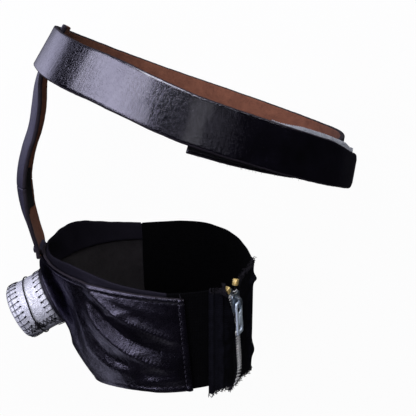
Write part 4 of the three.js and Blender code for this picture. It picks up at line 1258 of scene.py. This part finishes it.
def wall_dent(angle, radius, height):
    """Dents, the lap of the side seam, the rims' swell and one slanting crease."""
    x, y = np.cos(angle) * 2.2, np.sin(angle) * 2.2
    push = 0.32 * wander(x, y, height * 0.09) + 0.2 * wander(x * 3, y * 3, height * 0.28)
    push += 0.1 * wander(x * 7, y * 7, height * 0.6)
    away = np.angle(np.exp(1j * (angle - SEAM_ANGLE))) * DRUM_RADIUS
    push += 0.5 * smooth(away, -0.5, 0.1) * (1 - smooth(away, 3.0, 7.0))
    for level in (1.2, DRUM_LENGTH - 1.0):
        push += 0.25 * hump(height, WALL_FOOT + level, 0.9)
    line = np.radians(58 + (11 - height) * 3.1)
    crease = hump(angle, line, 0.5 / DRUM_RADIUS) * smooth(height, 4, 5.5) * (1 - smooth(height, 10, 11.5))
    return (push - 0.45 * crease) * (radius > 15.6), 0 * push


def disc_dent(angle, radius, height):
    x, y = np.cos(angle) * radius, np.sin(angle) * radius
    push = 0.28 * wander(x * 0.16, y * 0.16, 4.0) + 0.12 * wander(x * 0.5, y * 0.5, 8.0)
    lip = 0.35 * hump(radius, 14.9, 0.9) - 0.25 * hump(radius, 12.6, 0.6)
    return 0 * push, (push + lip) * (height > WALL_TOP + GAP + 0.5)


def flange_dent(angle, radius, height):
    wave = 0.12 * wander(np.cos(angle) * 5, np.sin(angle) * 5, height * 0.3)
    return wave * (radius > 17), wave


def make_drum():
    levels = np.linspace(0.35, DRUM_LENGTH - 0.35, 26)
    radii = np.interp(levels, (0, DRUM_LENGTH), (DRUM_RADIUS, DRUM_RIM_RADIUS))
    wall = [(DRUM_RADIUS - DRUM_WALL, WALL_FOOT), (DRUM_RADIUS - 0.3, WALL_FOOT)]
    wall += [(r, WALL_FOOT + h) for r, h in zip(radii, levels)]
    wall += [(DRUM_RIM_RADIUS - 0.3, WALL_TOP), (DRUM_RIM_RADIUS - DRUM_WALL, WALL_TOP)]
    spun("drum_wall", wall, wall_dent, silver_leather, 160, node="canister_wall", slot="silver_leather")
    base = WALL_TOP + GAP
    disc = [(r, base) for r in (0, 4, 8, 12, 15, DRUM_RIM_RADIUS - 0.25)]
    disc += [(DRUM_RIM_RADIUS + r, base + h) for r, h in ((0.1, 0.3), (0.1, 0.9), (-0.3, 1.4))]
    disc += [(r, base + DISC_THICK + 0.3) for r in (15.4, 14.6, 13.8, 13.0, 12.2, 11.4, 10, 8.5, 7, 5.5, 4, 2.5, 1.2)]
    disc += [(0.0, base + DISC_THICK + 0.4)]
    spun("drum_end", disc, disc_dent, silver_leather, 96, node="canister_end", slot="silver_leather")
    flange = [(FLANGE_HOLE, 0.0), (FLANGE_RADIUS - 0.4, 0.0), (FLANGE_RADIUS, 0.4)]
    flange += [(FLANGE_RADIUS - r, FLANGE_THICK - h) for r, h in ((0, 0.8), (0.25, 0.25), (0.8, 0))]
    flange += [(FLANGE_HOLE, FLANGE_THICK)]
    spun("drum_flange", flange, flange_dent, flange_leather, 96, node="canister_flange", slot="leather")


# A whip stitch over the drum's rim, and one over its foot: slant, then out and along from the rim or the foot
WHIP_COUNT, WHIP_SLANT = 32, 0.035
OVER_RIM = np.array([
    (0, -0.4, -3.6), (0.3, 0.55, -3.3), (1, 0.7, -0.6), (1.4, 0.45, 1.2), (1.7, -0.5, 1.95), (1.9, -1.8, 1.7),
])
OVER_FOOT = np.array([(0, -0.5, 3.6), (-0.3, 0.5, 3.3), (-1, 0.6, 0.6), (-1.4, 0.75, -0.2), (-1.6, 0.9, -0.75)])


def make_drum_thread():
    lines, knots = [], []
    for k in range(WHIP_COUNT):
        angle = 2 * math.pi * (k + 0.2) / WHIP_COUNT
        for whip, radius, level in ((OVER_RIM, DRUM_RIM_RADIUS, WALL_TOP), (OVER_FOOT, DRUM_RADIUS, WALL_FOOT)):
            slant, out, along = whip.T
            lines.append(on_drum(angle + WHIP_SLANT * slant, radius + out, level + along))
        knots += [(angle, DRUM_RIM_RADIUS + 0.35, WALL_TOP - 3.5), (angle, DRUM_RADIUS + 0.3, WALL_FOOT + 3.5)]
    strands("drum_whip_stitches", lines, 0.19, thread_black, 1, slot="cord")
    angle, radius, level = np.array(knots).T
    place = on_drum(angle, radius, level)
    out = unit(on_drum(angle, radius + 1, level) - place)
    along = np.broadcast_to(DRUM_AXIS, place.shape)
    stitches("drum_stitch_holes", [(place, along, np.cross(out, along), out)], (1.5, 1.2, 0.5), thread_black)
    cross = []
    steps = np.linspace(-1, 1, 6)
    for k in range(7):
        level = WALL_FOOT + 1.9 + k * 2.4
        for sign in (-1, 1):
            angles = SEAM_ANGLE + (sign * steps * 2.4 + 0.4 * math.sin(k * 2.3)) / DRUM_RADIUS
            radii = DRUM_RADIUS + 1.0 - 0.45 * steps**2
            cross.append(on_drum(angles, radii, level + (1.3 + 0.3 * math.sin(k * 1.7)) * steps))
    strands("drum_seam_lacing", cross, 0.26, thread_black, 1, slot="cord")


def make_cord():
    """The cord once round the drum, with its two tails and its knot."""
    turn = np.linspace(0, 2 * math.pi, 110)
    angles = KNOT_ANGLE + turn
    x, y = np.cos(angles), np.sin(angles)
    levels = WALL_FOOT + CORD_PLACE * DRUM_LENGTH - 1.15 * x + 0.35 * y + 0.35 * wander(x * 1.6, y * 1.6, 3)
    levels += 0.5 * smooth(turn, 5.5, 6.2) + 0.5 * (1 - smooth(turn, 0.1, 0.8))
    radii = CORD_AT + 0.15 * wander(x * 3, y * 3, 6)
    lines = [on_drum(angles, radii, levels)]
    radius, level = radii[0], levels[0]
    steps = np.linspace(0, 1, 12)
    for bend in (-1, 1):
        lines.append(on_drum(
            KNOT_ANGLE + 0.30 * steps + 0.07 * bend * np.sin(steps * 4),
            radius + 0.5 + 0.4 * np.sin(steps * 5) * steps, level + 2.4 * bend * steps**1.4,
        ))
    steps = np.linspace(0, 2 * math.pi, 24)
    knot = (KNOT_ANGLE + 0.05 * np.cos(steps), radius + 0.5 * np.sin(2 * steps), level + 0.75 * np.sin(steps))
    strands("drum_cord", lines + [on_drum(*knot)], 0.38, thread_black, 2, node="canister_cord", slot="cord")


make_drum()
make_drum_thread()
make_cord()
